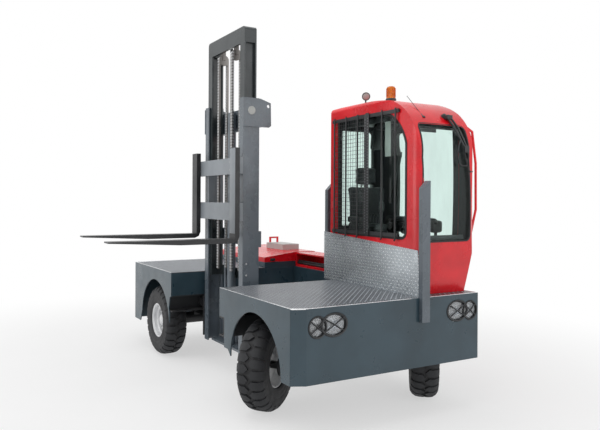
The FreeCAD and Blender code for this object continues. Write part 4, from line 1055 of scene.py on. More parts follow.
@dataclass(frozen=True)
class Sheet:
    """A plate with an outline in one plane, in the same measures; span is its two faces' places."""

    outline: tuple[Flat, ...]
    plane: Plane
    span: Flat
    bevel: float
    corner: float = 0.0

    def add(self, shop: Workshop, form: Form) -> None:
        """Add it to a form.

        Args:
            shop: the workshop.
            form: the form.
        """
        first, second, through = (shop.at(0.0, 0.0, 0.0)[axis] for axis in self.plane.value)
        form.plate([(first + a, second + b) for a, b in self.outline], self.plane,
                   tuple(through + c for c in self.span), self.bevel, self.corner)


@dataclass
class Listed(Fitting):
    """A piece of the chassis put together from simple shapes."""

    name: str
    finish: str
    smooth: float
    parts: tuple[Block | Pipe | Sheet, ...]

    def make(self) -> None:
        """Make the piece."""
        shop = self.shop
        form = Form()
        for part in self.parts:
            part.add(shop, form)
        shop.solid(self.name, self.finish, form, self.smooth)


# ------ finishes of the construction nodes


@dataclass(frozen=True)
class NodeFinishes:
    """Which finish each construction node wears: by its name, else by its slot."""

    by_slot: dict[str, str] = field(default_factory=lambda: {
        "deck_plate": "deck_dark", "skirt_plate": "skirt_bright", "seat_black": "seat_cloth",
        "lamp_glass": "lamp_clear", "beacon_orange": "beacon_amber", "engine_iron": "cast_dark",
        "cylinder_grey": "mast_grey", "rod_chrome": "polished_rod", "rim_white": "rim_silver",
    })
    by_name: dict[str, str] = field(default_factory=lambda: {
        "outer_mast": "mast_grey", "stakes": "mast_grey", "inner_mast": "rail_dark",
        "mast_truck": "under_black", "mast_guides": "under_black", "chassis_beams": "under_black",
        "steer_axle": "under_black", "rear_axle": "under_black", "knuckle_right": "under_black",
        "knuckle_left": "under_black",
    })

    def dress(self, shop: Workshop) -> None:
        """Assign the finishes; a slot that isn't listed has the finish of its own name.

        Args:
            shop: the workshop.
        """
        for entry in shop.frame["record"]["subparts"]:
            slot_name = entry["material_slot"]
            finish = self.by_name.get(entry["node"], self.by_slot.get(slot_name, slot_name))
            node = shop.frame["nodes"][entry["node"]]
            for slot in node.material_slots:
                slot.material = shop.paints[finish]
            LOG.info("node %s wears %s", node.name, finish)


# ------ wheels


@dataclass
class Wheel(Fitting):
    """One road wheel: block-tread tyre, dished rim, hub and nuts."""

    name: str
    body: Body
    outward: float
    width: float = 0.262
    bead: float = 0.203
    blocks: int = 27
    block_spans: int = 4
    block_gap: float = 0.014
    block_inset: float = 0.0035
    zigzag: float = 0.030
    centre_gap: float = 0.004
    groove: float = 0.016
    root: float = 0.012
    crown_drop: float = 0.055
    crown_power: float = 4.5
    nuts: int = 8
    nut_circle: float = 0.112
    nut_turn: float = 0.2
    lip_at: float = 0.78

    def make(self) -> None:
        """Make the wheel's pieces."""
        shop = self.shop
        joint = next(j for j in shop.frame["joints"] if j["name"] == self.name + "_spin")
        self.centre, self.axis = Vector(joint["pos_m"]), Vector(joint["axis"]).normalized() * self.outward
        self.place = along(self.centre, self.axis)
        self.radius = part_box(self.name + "_tyre")[1].z / 2
        self.carcass()
        for side, word in ((-1.0, "inner"), (1.0, "outer")):
            start = math.pi / self.blocks if side > 0 else 0.0
            shop.copied(shop.spin, f"{self.name}_tread_{word}", "tread_rubber", self.body, self.block(side),
                        {"Count": self.blocks, "Start Angle": start}, self.place, 30.0)
        self.rim_details()

    def carcass(self) -> None:
        """Casing with bead rings, drawn as one closed ring."""
        shop = self.shop
        half, r, bead = self.width / 2, self.radius, self.bead
        loop = [(half * across, level) for across, level in (
            (-0.78, bead), (-0.90, bead + 0.008), (-0.97, bead + 0.030), (-0.955, bead + 0.036),
            (-1.0, bead + 0.060), (-1.0, bead + 0.088), (-0.985, bead + 0.092), (-1.0, bead + 0.098),
            (-0.995, r - 0.085), (-0.95, r - 0.060), (-0.80, r - 0.030), (-0.5, r - self.groove - 0.002),
            (0.0, r - self.groove))]
        profile = loop + [(-a, b) for a, b in reversed(loop[:-1])]
        form = Form().ring(profile, self.centre, self.axis, 72)
        shop.solid(self.name + "_casing", "tyre_rubber", form, 40.0, self.body, [self.name + "_tyre"])

    def spot(self, angle: float, across: float, side: float, lift: float = 0.0) -> Vector:
        """Find a point over the tread's crown.

        Args:
            angle: angle about the local Z axis.
            across: distance from the wheel's middle plane.
            side: 1 outside, -1 inside.
            lift: height over the crown.

        Returns:
            The point.
        """
        fall = self.crown_drop * abs(across / (self.width / 2)) ** self.crown_power
        radius = self.radius - fall + lift
        return Vector((radius * math.cos(angle), radius * math.sin(angle), across * side))

    def block(self, side: float) -> Form:
        """Make one tread block at angle zero about the local Z axis.

        Args:
            side: 1 for the outer row, -1 for the inner one.

        Returns:
            Its mesh.
        """
        half = self.width / 2
        reach = math.pi / self.blocks - self.block_gap / self.radius / 2
        spans = self.block_spans
        form = Form()
        tops, roots = [], []
        for k in range(spans + 1):
            t = k / spans
            angle = reach * (2 * t - 1)
            near = self.centre_gap + self.zigzag - self.zigzag * 1.25 * (1 - abs(2 * t - 1))
            stations = [near, (near + half * 0.62) / 2, half * 0.62, half * 0.84, half * 0.985]
            column = [(angle * (1 if s == near else 0.95), s) for s in stations]
            inset = self.block_inset / self.radius * ((k == 0) - (k == spans))
            tops.append([form.bm.verts.new(self.spot(a + inset, c + self.block_inset * (c == near), side))
                         for a, c in column])
            roots.append([form.bm.verts.new(self.spot(a, c, side, -self.groove - self.root))
                          for a, c in column])
        last = len(stations) - 1
        quads = []
        for k in range(spans):
            for sheet in (tops, roots):
                quads += [(sheet[k][j], sheet[k + 1][j], sheet[k + 1][j + 1], sheet[k][j + 1])
                          for j in range(last)]
            quads += [(tops[k][j], roots[k][j], roots[k + 1][j], tops[k + 1][j]) for j in (0, last)]
        for k in (0, spans):
            quads += [(tops[k][j], tops[k][j + 1], roots[k][j + 1], roots[k][j]) for j in range(last)]
        for quad in quads:
            form.bm.faces.new(quad)
        return form

    def rim_details(self) -> None:
        """Rolled rim lip, hub cap and wheel nuts."""
        shop = self.shop
        lip = self.width / 2 * self.lip_at
        form = Form()
        for section in (
                [(lip - 0.016, 0.190), (lip - 0.016, 0.2045), (lip - 0.004, 0.2045), (lip - 0.001, 0.212),
                 (lip + 0.006, 0.214), (lip + 0.010, 0.209), (lip + 0.009, 0.199), (lip + 0.002, 0.193)],
                [(0.055, 0.168), (0.060, 0.176), (0.057, 0.186), (0.045, 0.192), (0.040, 0.165)]):
            form.ring(section, self.centre, self.axis, 64)
        shop.solid(self.name + "_rim_lip", "rim_silver", form, 50.0, self.body)
        cap = [(0.040, 0.062), (0.066, 0.060), (0.074, 0.052), (0.078, 0.030), (0.079, 0.0)]
        form = Form().turning(cap, self.centre, self.axis, 40)
        shop.solid(self.name + "_hub_cap", "rim_silver", form, 40.0, self.body)
        form = Form()
        for profile, steps in (([(0.010, 0.017), (0.014, 0.017)], 16),
                               ([(0.014, 0.0135), (0.030, 0.0135), (0.034, 0.010)], 6),
                               ([(0.034, 0.0065), (0.046, 0.006)], 10)):
            form.turning(profile, (self.nut_circle, 0, 0), Axis.Z.value, steps)
        shop.copied(shop.spin, self.name + "_nuts", "bolt_zinc", self.body, form,
                    {"Count": self.nuts, "Start Angle": self.nut_turn}, self.place, 30.0)


# ------ platforms


@dataclass
class Platforms(Fitting):
    """Chequered decks, studded skirt and nosing of the two body boxes; the nosing's bright finish is a
    painted highlight along their edges.
    """

    pitch: float = 0.027
    stud_length: float = 0.021
    stud_width: float = 0.0068
    stud_height: float = 0.0022
    margin: float = 0.018
    corner: float = 0.062
    edge_setback: float = 0.130
    step_width: float = 0.100
    skirt_slope: float = -0.103 / 1.46
    nosing: float = 0.006

    def studs(self, name: str, finish: str, low: Point, size: Point,
              turn: Matrix | None = None, slope: float = 0.0, limit: float = 10.0) -> None:
        """One field of studs over a rectangle.

        Args:
            name: piece name.
            finish: finish name.
            low: the rectangle's low corner.
            size: its length and width.
            turn: rotation of the field, flat when left out.
            slope: fall of its cut edge along its length.
            limit: height of the cut edge at the start; none of it is cut when left out.
        """
        shop = self.shop
        values = {"Length": size[0], "Width": size[1], "Pitch": self.pitch,
                  "Stud Length": self.stud_length, "Stud Width": self.stud_width,
                  "Stud Height": self.stud_height, "Cut Slope": slope, "Cut Height": limit}
        place = Matrix.Translation(low) @ (turn or Matrix.Identity(4))
        shop.grown(shop.studs, name, finish, Body.CHASSIS, values, place)

    def make(self) -> None:
        """Make every piece of the platforms."""
        low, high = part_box("front_deck")
        near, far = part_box("cab_skirt")
        m, z = self.margin, high.z
        self.studs("front_deck_studs", "stud_worn", (low.x + m, low.y + m, z),
                   (high.x - self.corner - low.x - m, near.y - low.y - 2 * m))
        self.studs("front_deck_edge_studs", "stud_worn",
                   (high.x - self.corner + m, low.y + self.edge_setback, z),
                   (self.corner - 1.2 * m, near.y - low.y - self.edge_setback - m))
        self.studs("cab_step_studs", "stud_worn", (high.x - self.step_width, far.y + m, z),
                   (self.step_width - m, high.y - far.y - 2 * m))
        low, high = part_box("rear_deck")
        self.studs("rear_deck_studs", "stud_worn", (low.x + m, low.y + m, high.z),
                   (high.x - low.x - 2 * m, high.y - low.y - 2 * m))
        upright = Matrix.Rotation(math.pi / 2, 4, "X")
        rise = far.z - near.z
        self.studs("skirt_studs", "stud_bright", (near.x + m, near.y, near.z + m),
                   (far.x - near.x - 2.6 * m, rise - m), upright, self.skirt_slope, rise - 2.2 * m)
        self.highlight_nosing()

    def highlight_nosing(self) -> None:
        """Rounded weld-on nosing along the platform edges; its bright finish is a painted highlight along
        those edges.
        """
        shop = self.shop
        r = self.nosing
        low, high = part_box("front_sides")
        rear_low, rear_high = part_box("rear_sides")
        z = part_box("front_deck")[1].z - r * 0.35
        form = Form()
        for route in (
                ((low.x, low.y + r), (high.x - 0.057, low.y + r), (high.x - r, low.y + 0.119),
                 (high.x - r, low.y + 1.212)),
                ((high.x - r, low.y + 1.395), (high.x - r, high.y - r), (low.x, high.y - r)),
                ((rear_high.x - r, rear_low.y + r), (rear_low.x + r, rear_low.y + r),
                 (rear_low.x + r, rear_high.y - r))):
            form.tube([(x, y, z) for x, y in route], r, 0.01)
        # the bright finish paints the highlight lines along the platform edges
        shop.solid("platform_nosing", "stud_bright", form, 60.0)


@dataclass
class TailLamps(Fitting):
    """Tail lamps and their housings on the rear plate."""

    inset: float = 0.16
    z: float = 0.91

    def make(self) -> None:
        """Make the lamps."""
        shop = self.shop
        low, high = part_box("rear_walls")
        rows = (("tail_lamp_housings", "trim_black", -0.022, 0.002, 0.085, 0.050, 0.006),
                ("tail_lamp_lenses", "lamp_red", -0.030, -0.018, 0.075, 0.040, 0.005))
        for name, finish, back, front, half, rise, bevel in rows:
            form = Form()
            for y in (low.y + self.inset, high.y - self.inset):
                form.box((low.x + back, y - half, self.z - rise),
                         (low.x + front, y + half, self.z + rise), bevel)
            shop.solid(name, finish, form)


@dataclass
class Headlamps(Fitting):
    """Paired lamps let into the front plate: bezels, bowls, lenses, bulbs and cross guards."""

    big_y: float = 0.387
    small_y: float = 0.224
    mirror_y: float = 1.763
    height: float = 0.925
    small_drop: float = 0.007
    big: Flat = (0.135, 0.100)
    small: Flat = (0.092, 0.092)
    bar: float = 0.0055
    bar_turns: Flat = (38.0, 142.0)
    bar_reach: float = 0.84
    bar_x: float = 0.003
    bulb_x: float = -0.062
    bezel: tuple[Flat, ...] = ((-0.06, 1.0), (-0.006, 1.0), (0.004, 0.985), (0.008, 0.95), (0.006, 0.86),
                               (-0.012, 0.82), (-0.06, 0.80))
    bowl: tuple[Flat, ...] = ((-0.064, 0.30), (-0.058, 0.45), (-0.045, 0.66), (-0.022, 0.80), (-0.016, 0.82),
                              (-0.024, 0.82), (-0.050, 0.70), (-0.066, 0.45), (-0.070, 0.30))
    lens: tuple[Flat, ...] = ((-0.016, 0.80), (-0.010, 0.78), (-0.006, 0.62), (-0.003, 0.30), (-0.007, 0.30),
                              (-0.010, 0.60), (-0.015, 0.76))
    bulb: tuple[Flat, ...] = ((-0.006, 0.016), (0.022, 0.016), (0.030, 0.010), (0.032, 0.0))

    def unit(self, forms: dict[str, Form], middle: Flat, radii: Flat) -> None:
        """One lamp of a pair.

        Args:
            forms: the meshes of bezels, bowls, lenses, bulbs and guards.
            middle: the lamp's place across and up.
            radii: its half width and half height.
        """
        shop = self.shop
        y, z = middle
        a, b = radii
        for key in ("bezel", "bowl", "lens"):
            loops = [[shop.at(x, y + a * scale * c, z + b * scale * s) for c, s in circle(48)]
                     for x, scale in getattr(self, key)]
            forms[key].skin(loops, key == "bezel")
        forms["bulb"].turning(self.bulb, shop.at(self.bulb_x, y, z), Axis.X.value, 20)
        centre = shop.at(self.bar_x, y, z)
        for turn in map(math.radians, self.bar_turns):
            reach = Vector((0.0, a * math.cos(turn), b * math.sin(turn))) * self.bar_reach
            forms["guard"].tube([centre - reach, centre, centre + reach], self.bar)

    def make(self) -> None:
        """Make the four lamps."""
        shop = self.shop
        forms = {key: Form() for key in ("bezel", "bowl", "lens", "bulb", "guard")}
        flip = self.big_y + self.mirror_y
        for big_y, small_y in ((self.big_y, self.small_y), (self.mirror_y, flip - self.small_y)):
            self.unit(forms, (small_y, self.height - self.small_drop), self.small)
            self.unit(forms, (big_y, self.height), self.big)
        for name, finish, key in (("bezels", "trim_black", "bezel"), ("bowls", "bowl_grey", "bowl"),
                                  ("lenses", "lamp_clear", "lens"), ("bulbs", "box_pale", "bulb"),
                                  ("cross_guards", "trim_black", "guard")):
            hidden = ["headlamps"] if key == "bezel" else ()
            shop.solid("headlamp_" + name, finish, forms[key], 50.0, hidden=hidden)


# ------ surfaces and cab


class Surface:
    """Ray tests against the meshes of some construction nodes."""

    def __init__(self, shop: Workshop, *names: str) -> None:
        """Gather the nodes' faces into one search tree.

        Args:
            shop: the workshop.
            names: the nodes.
        """
        points: list[Vector] = []
        faces: list[list[int]] = []
        for name in names:
            node = shop.frame["nodes"][name]
            base = len(points)
            points += [node.matrix_world @ v.co for v in node.data.vertices]
            faces += [[base + i for i in p.vertices] for p in node.data.polygons]
        self.tree = BVHTree.FromPolygons(points, faces)

    def seen(self, start: Vector, direction: Vector, fallback: Vector) -> Vector:
        """First point met from start along a direction, or a fallback where nothing is met."""
        return self.tree.ray_cast(start, direction)[0] or fallback


def merged_copy(node: Piece) -> Mesh:
    """Copy a construction node's mesh in row coordinates, with its loose triangles joined.

    Args:
        node: the node.

    Returns:
        The copy.
    """
    bm = bmesh.new()
    bm.from_mesh(node.data)
    bmesh.ops.transform(bm, matrix=node.matrix_world, verts=bm.verts)
    bmesh.ops.remove_doubles(bm, verts=bm.verts, dist=1e-5)
    return bm


def islands(bm: Mesh) -> list[list[bmesh.types.BMFace]]:
    """Sort the faces of a mesh into groups that hang together.

    Args:
        bm: the mesh.

    Returns:
        The groups.
    """
    left = set(bm.faces)
    groups = []
    while left:
        stack, group = [left.pop()], []
        while stack:
            face = stack.pop()
            group.append(face)
            for other in (f for edge in face.edges for f in edge.link_faces):
                if other in left:
                    left.remove(other)
                    stack.append(other)
        groups.append(group)
    return groups


def rim_of(faces: Iterable[bmesh.types.BMFace], shortest: float = 0.004) -> list[Vector]:
    """Outline of a patch of faces.

    Args:
        faces: the patch.
        shortest: points closer than this to the one before are left out.

    Returns:
        Its points in order.
    """
    patch = set(faces)
    after: dict[bmesh.types.BMVert, bmesh.types.BMVert] = {}
    for loop in (loop for face in patch for loop in face.loops):
        if sum(other in patch for other in loop.edge.link_faces) == 1:
            after[loop.vert] = loop.link_loop_next.vert
    start = next(iter(after))
    outline, here = [start.co.copy()], after[start]
    while here is not start and len(outline) <= len(after):
        if (here.co - outline[-1]).length > shortest:
            outline.append(here.co.copy())
        here = after[here]
    return outline


@dataclass
class Pane(Fitting):
    """A window's rubber: through the wall and over the skin as a lip."""

    name: str
    node: str
    walls: str
    body: Body
    side: Axis
    lip: float = 0.014
    bead: float = 0.007
    inner: float = 0.026
    facing: float = 0.35
    proud: float = 0.021
    deepest: float = 0.05
    probe: float = 0.4

    def outline(self, out: Vector) -> list[Vector]:
        """Edge of the pane's outer face.

        Args:
            out: the pane's outward direction.

        Returns:
            The edge's points in order.
        """
        shop = self.shop

        def distance(group: Sequence[bmesh.types.BMFace]) -> float:
            """Mean distance outward of a group of faces."""
            moment = sum(f.calc_center_median().dot(out) * f.calc_area() for f in group)
            return moment / sum(f.calc_area() for f in group)

        bm = merged_copy(shop.frame["nodes"][self.node])
        pane = max(islands(bm), key=distance)
        outline = rim_of(f for f in pane if f.normal.dot(out) > self.facing)
        bm.free()
        return outline

    def make(self) -> None:
        """Make the rubber."""
        shop = self.shop
        out = Vector(self.side.value)
        edge = self.outline(out)
        walls = Surface(shop, self.walls)
        middle = sum(edge, Vector()) / len(edge)
        rings = []
        for k, here in enumerate(edge):
            run = (edge[(k + 1) % len(edge)] - edge[k - 1]).normalized()
            away = run.cross(out).normalized()
            if away.dot(here - middle) < 0:
                away.negate()
            over = here + away * self.lip + out * self.probe
            wall = walls.seen(over, -out, here + out * self.proud)
            height = max(0.0, min(self.deepest, (wall - here).dot(out)))
            rings.append([here + away * aside + out * depth for aside, depth in (
                (self.lip, height - 0.002), (self.lip, height + 0.003), (-self.bead * 0.4, height + 0.005),
                (-self.bead, height), (-self.bead, -self.inner), (0.003, -self.inner))])
        shop.solid(self.name, "seal_rubber", Form().skin(rings, True), 50.0, self.body)


@dataclass
class LiningAndShade(Fitting):
    """Dark inner skin of the cab's walls and of its door: a lining whose dark colour is also painted shade
    for the cab's interior.
    """

    gap: float = 0.002
    thickness: float = 0.002
    inward: float = 0.08

    def make(self) -> None:
        """Make both linings."""
        shop = self.shop
        middle = sum(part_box("cab_shell"), Vector()) / 2
        for name, node, body in (("cab_lining", "cab_shell", Body.CHASSIS),
                                 ("door_lining", "cab_door", Body.DOOR)):
            bm = merged_copy(shop.frame["nodes"][node])
            outer = [f for f in bm.faces
                     if f.normal.dot((middle - f.calc_center_median()).normalized()) < self.inward]
            bmesh.ops.delete(bm, geom=outer, context="FACES")
            bm.normal_update()
            front = bm.faces[:]
            made = bmesh.ops.duplicate(bm, geom=front)["geom"]
            back = [f for f in made if isinstance(f, bmesh.types.BMFace)]
            for faces, shift in ((front, self.gap + self.thickness), (back, self.gap)):
                for vert in {v for f in faces for v in f.verts}:
                    vert.co += vert.normal * shift
            bmesh.ops.reverse_faces(bm, faces=back)
            # the near-black skin stands for the lining and paints the shade inside the cab
            shop.solid(name, "liner_grey", Form(bm), 30.0, body)


@dataclass
class Guard(Fitting):
    """Wire screen, wide strip with its piercings, and hooks of the window guard."""

    plane_y: float = 1.318
    rear_x: float = -1.322
    wide_x: float = -0.770
    low_z: float = 1.600
    high_z: float = 2.790
    mesh: float = 0.040
    wire: float = 0.0021
    strip_width: float = 0.074
    strip_front: float = 0.010
    strip_thickness: float = 0.004
    holes: int = 41
    hole_step: float = 0.028
    hole_stagger: float = 0.014
    hook_x: tuple[float, ...] = (-1.118, -0.925, -0.545, -0.350)
    bolt_inset: float = 0.015
    bolt_z: Flat = (1.610, 2.770)

    def make(self) -> None:
        """Make the guard's pieces."""
        shop = self.shop
        upright = Matrix.Rotation(math.pi / 2, 4, "X")
        place = Matrix.Translation(shop.at(self.rear_x, self.plane_y + 0.003, self.low_z)) @ upright
        values = {"Length": self.wide_x - self.rear_x, "Width": self.high_z - self.low_z, "Pitch": self.mesh,
                  "Wire Radius": self.wire}
        shop.grown(shop.wires, "guard_wires", "guard_black", Body.CHASSIS, values, place)
        half, front = self.strip_width / 2, self.plane_y - self.strip_front
        strip = Form().box(shop.at(self.wide_x - half, front, self.low_z),
                           shop.at(self.wide_x + half, front + self.strip_thickness, self.high_z), 0.0008)
        shop.solid("guard_strip", "guard_black", strip, 40.0)
        holes = Form()
        for side, rise in ((-0.5, 0.0), (0.5, self.hole_stagger)):
            seat = shop.at(self.wide_x + side * half, front + 0.0005, self.low_z + 0.012 + rise)
            holes.turning([(0.0, 0.0065), (0.0017, 0.0055)], seat, Axis.FORK_SIDE.value, 8)
        shop.copied(shop.row, "guard_piercings", "pierced_grey", Body.CHASSIS, holes,
                    {"Count": self.holes, "Step Z": self.hole_step})
        self.hooks()

    def hooks(self) -> None:
        """Hooks under the frame and bolts at its corners."""
        shop = self.shop
        low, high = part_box("cab_guard")
        form, foot = Form(), low.z + 0.003
        for x in self.hook_x:
            form.tube([shop.at(x, self.plane_y, foot), shop.at(x, self.plane_y, foot - 0.016),
                       shop.at(x + 0.012, self.plane_y - 0.018, foot - 0.022)], 0.008, 0.012)
        face = shop.side_y + self.plane_y + 0.004
        for x in (low.x + self.bolt_inset, high.x - self.bolt_inset):
            for z in self.bolt_z:
                form.turning([(0.0, 0.011), (0.008, 0.011), (0.010, 0.008)], (x, face, z),
                             Axis.FORK_SIDE.value, 6)
        shop.solid("guard_hooks", "guard_black", form, 40.0)


@dataclass
class Beacon(Fitting):
    """Ribbed amber dome over a turning mirror on a black foot."""

    ribs: int = 24
    foot_height: float = 0.030
    wall_inset: float = 0.007
    mirror_turn: float = 0.6

    def make(self) -> None:
        """Make the beacon."""
        shop = self.shop
        low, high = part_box("beacon")
        x, y = (low.x + high.x) / 2, (low.y + high.y) / 2
        foot_r = (high.x - low.x) / 2
        base, r, up = low.z + 0.002, foot_r - self.wall_inset, Axis.Z.value
        seat = base + self.foot_height
        height = high.z - seat
        foot = [(0.0, foot_r - 0.002), (0.020, foot_r), (0.026, foot_r - 0.002), (0.032, r), (0.034, 0.0)]
        form = Form().turning(foot, (x, y, base), up, 40)
        shop.solid("beacon_foot", "trim_black", form, 50.0, hidden=["beacon"])
        wall = [(height * rise, r * share) for rise, share in (
            (0.0, 1.0), (0.10, 1.01), (0.12, 0.97), (0.84, 0.93), (0.93, 0.86), (0.985, 0.62), (1.0, 0.0))]
        form = Form().turning(wall, (x, y, seat), up, 48)
        shop.solid("beacon_dome", "beacon_amber", form, 60.0)
        out, place = r * 0.955, Matrix.Translation((x, y, 0.0))
        rib = Form().box((out - 0.002, -0.0016, seat + height * 0.13),
                         (out + 0.003, 0.0016, seat + height * 0.83), 0.0008)
        shop.copied(shop.spin, "beacon_ribs", "beacon_amber", Body.CHASSIS, rib, {"Count": self.ribs}, place)
        form = Form()
        dish = [(0.0, 0.005), (0.007, 0.015), (0.014, 0.022), (0.015, 0.021), (0.005, 0.004)]
        for turn in (self.mirror_turn, self.mirror_turn + math.pi):
            facing = Matrix.Rotation(turn, 3, "Z") @ Vector(Axis.X.value)
            form.turning(dish, (x, y, seat + height * 0.5), facing, 24)
        form.turning([(0.0, 0.012), (height * 0.45, 0.010)], (x, y, base + 0.034), up, 16)
        shop.solid("beacon_mirror", "mirror_bowl", form, 50.0)


@dataclass
class WorkLamp(Fitting):
    """Work lamp on its bracket, aimed down and forward."""

    aim: Point = (0.80, -0.50, -0.30)
    drop: float = 0.045
    stem: float = 0.008

    def make(self) -> None:
        """Make the lamp."""
        shop = self.shop
        low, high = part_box("work_lamp")
        x, y = (low.x + high.x) / 2, (low.y + high.y) / 2
        aim = Vector(self.aim)
        z = high.z - self.drop
        centre = Vector((x + 0.004, y, z)) - aim.normalized() * 0.004
        shell = [(-0.030, 0.016), (-0.026, 0.030), (-0.008, 0.040), (0.014, 0.0425), (0.020, 0.0425),
                 (0.020, 0.0375), (0.012, 0.036)]
        form = Form().tube([(x, y, low.z + 0.002), (x, y, z - 0.020)], self.stem).turning(shell, centre, aim)
        shop.solid("work_lamp_housing", "trim_black", form, 45.0, hidden=["work_lamp"])
        form = Form().turning([(0.010, 0.036), (0.017, 0.035), (0.021, 0.024), (0.023, 0.0)], centre, aim)
        shop.solid("work_lamp_lens", "box_pale", form, 60.0)


@dataclass
class Aerial(Fitting):
    """Thin aerial on a rubber foot, leaning back."""

    foot: Point = (-0.183, 1.509, 2.707)
    tip: Point = (-0.398, 1.500, 2.931)
    radius: float = 0.0030

    def make(self) -> None:
        """Make the aerial."""
        shop = self.shop
        foot, tip = shop.at(*self.foot), shop.at(*self.tip)
        grommet = [(-0.010, 0.014), (0.004, 0.014), (0.012, 0.007), (0.045, 0.005)]
        form = Form().turning(grommet, foot, (tip - foot).normalized(), 16)
        form.tube([foot, foot.lerp(tip, 0.5), tip], self.radius, 0.0, 6)
        shop.solid("aerial", "trim_black", form, 45.0)


@dataclass
class Wiper(Fitting):
    """Twin-arm wiper with its motor cap, blade and washer line, laid on the cab's nose.

    Points are (across, up, lift over the nose); the elbow's first number is from its pivot.
    """

    pivots: tuple[Point, Point] = ((1.775, 2.728, 0.0), (1.822, 2.722, 0.0))
    motor: tuple[Point, Point] = ((1.765, 2.742, -0.004), (1.835, 2.700, 0.040))
    joint: Point = (1.925, 2.420, 0.034)
    elbow: Point = (0.045, 2.620, 0.045)
    arm_start: Point = (0.030, 0.0, 0.010)
    arm_shift: float = 0.014
    arm: float = 0.0105
    blade: tuple[Point, ...] = ((1.850, 2.560, 0.020), (1.905, 2.420, 0.018), (1.952, 2.240, 0.018),
                                (1.958, 2.180, 0.018))
    line: tuple[Point, ...] = ((1.862, 2.500, 0.030), (1.826, 2.430, 0.030), (1.812, 2.350, 0.026),
                               (1.846, 2.262, 0.024), (1.905, 2.262, 0.024), (1.940, 2.262, 0.020),
                               (1.945, 2.330, 0.020))
    nozzle: tuple[Point, ...] = ((1.953, 2.250, 0.016), (1.968, 2.205, 0.012), (2.000, 2.212, 0.012))

    def make(self) -> None:
        """Make the wiper."""
        shop = self.shop
        nose = Surface(shop, "cab_shell", "cab_glass")
        ahead = Vector(Axis.X.value)

        def over(y: float, z: float, lift: float) -> Vector:
            """Point over the nose at (y, z), lifted forward."""
            return nose.seen(shop.at(0.5, y, z), -ahead, shop.at(-0.07, y, z)) + ahead * lift

        form = Form()
        pivots = [over(*pivot) for pivot in self.pivots]
        cap = [(-0.006, 0.026), (0.016, 0.024), (0.030, 0.016), (0.034, 0.0)]
        for pivot in pivots:
            form.turning(cap, pivot, (0.77, 0, 0.64), 20)
        form.box(*(over(*corner) for corner in self.motor), 0.006)
        joint = over(*self.joint)
        for pivot, shift in zip(pivots, (-self.arm_shift, self.arm_shift)):
            elbow = over(pivot.y - shop.side_y + self.elbow[0], *self.elbow[1:])
            form.tube([pivot + Vector(self.arm_start), elbow, joint + Vector((0.0, shift, 0.0))],
                      self.arm, 0.03, 8)
        form.box(joint - Vector((0.010, 0.030, 0.035)), joint + Vector((0.012, 0.030, 0.030)), 0.005)
        shop.solid("wiper_arms", "trim_black", form, 45.0)
        blade = [over(*p) for p in self.blade]
        form = Form().tube(blade, 0.0085, 0.05, 8).tube([p - ahead * 0.010 for p in blade], 0.0045, 0.05, 6)
        shop.solid("wiper_blade", "seal_rubber", form, 45.0)
        form = Form().tube([over(*p) for p in self.line], 0.0070, 0.03, 8)
        form.tube([over(*p) for p in self.nozzle], 0.0055, 0.02, 8)
        shop.solid("washer_line", "trim_black", form, 45.0)


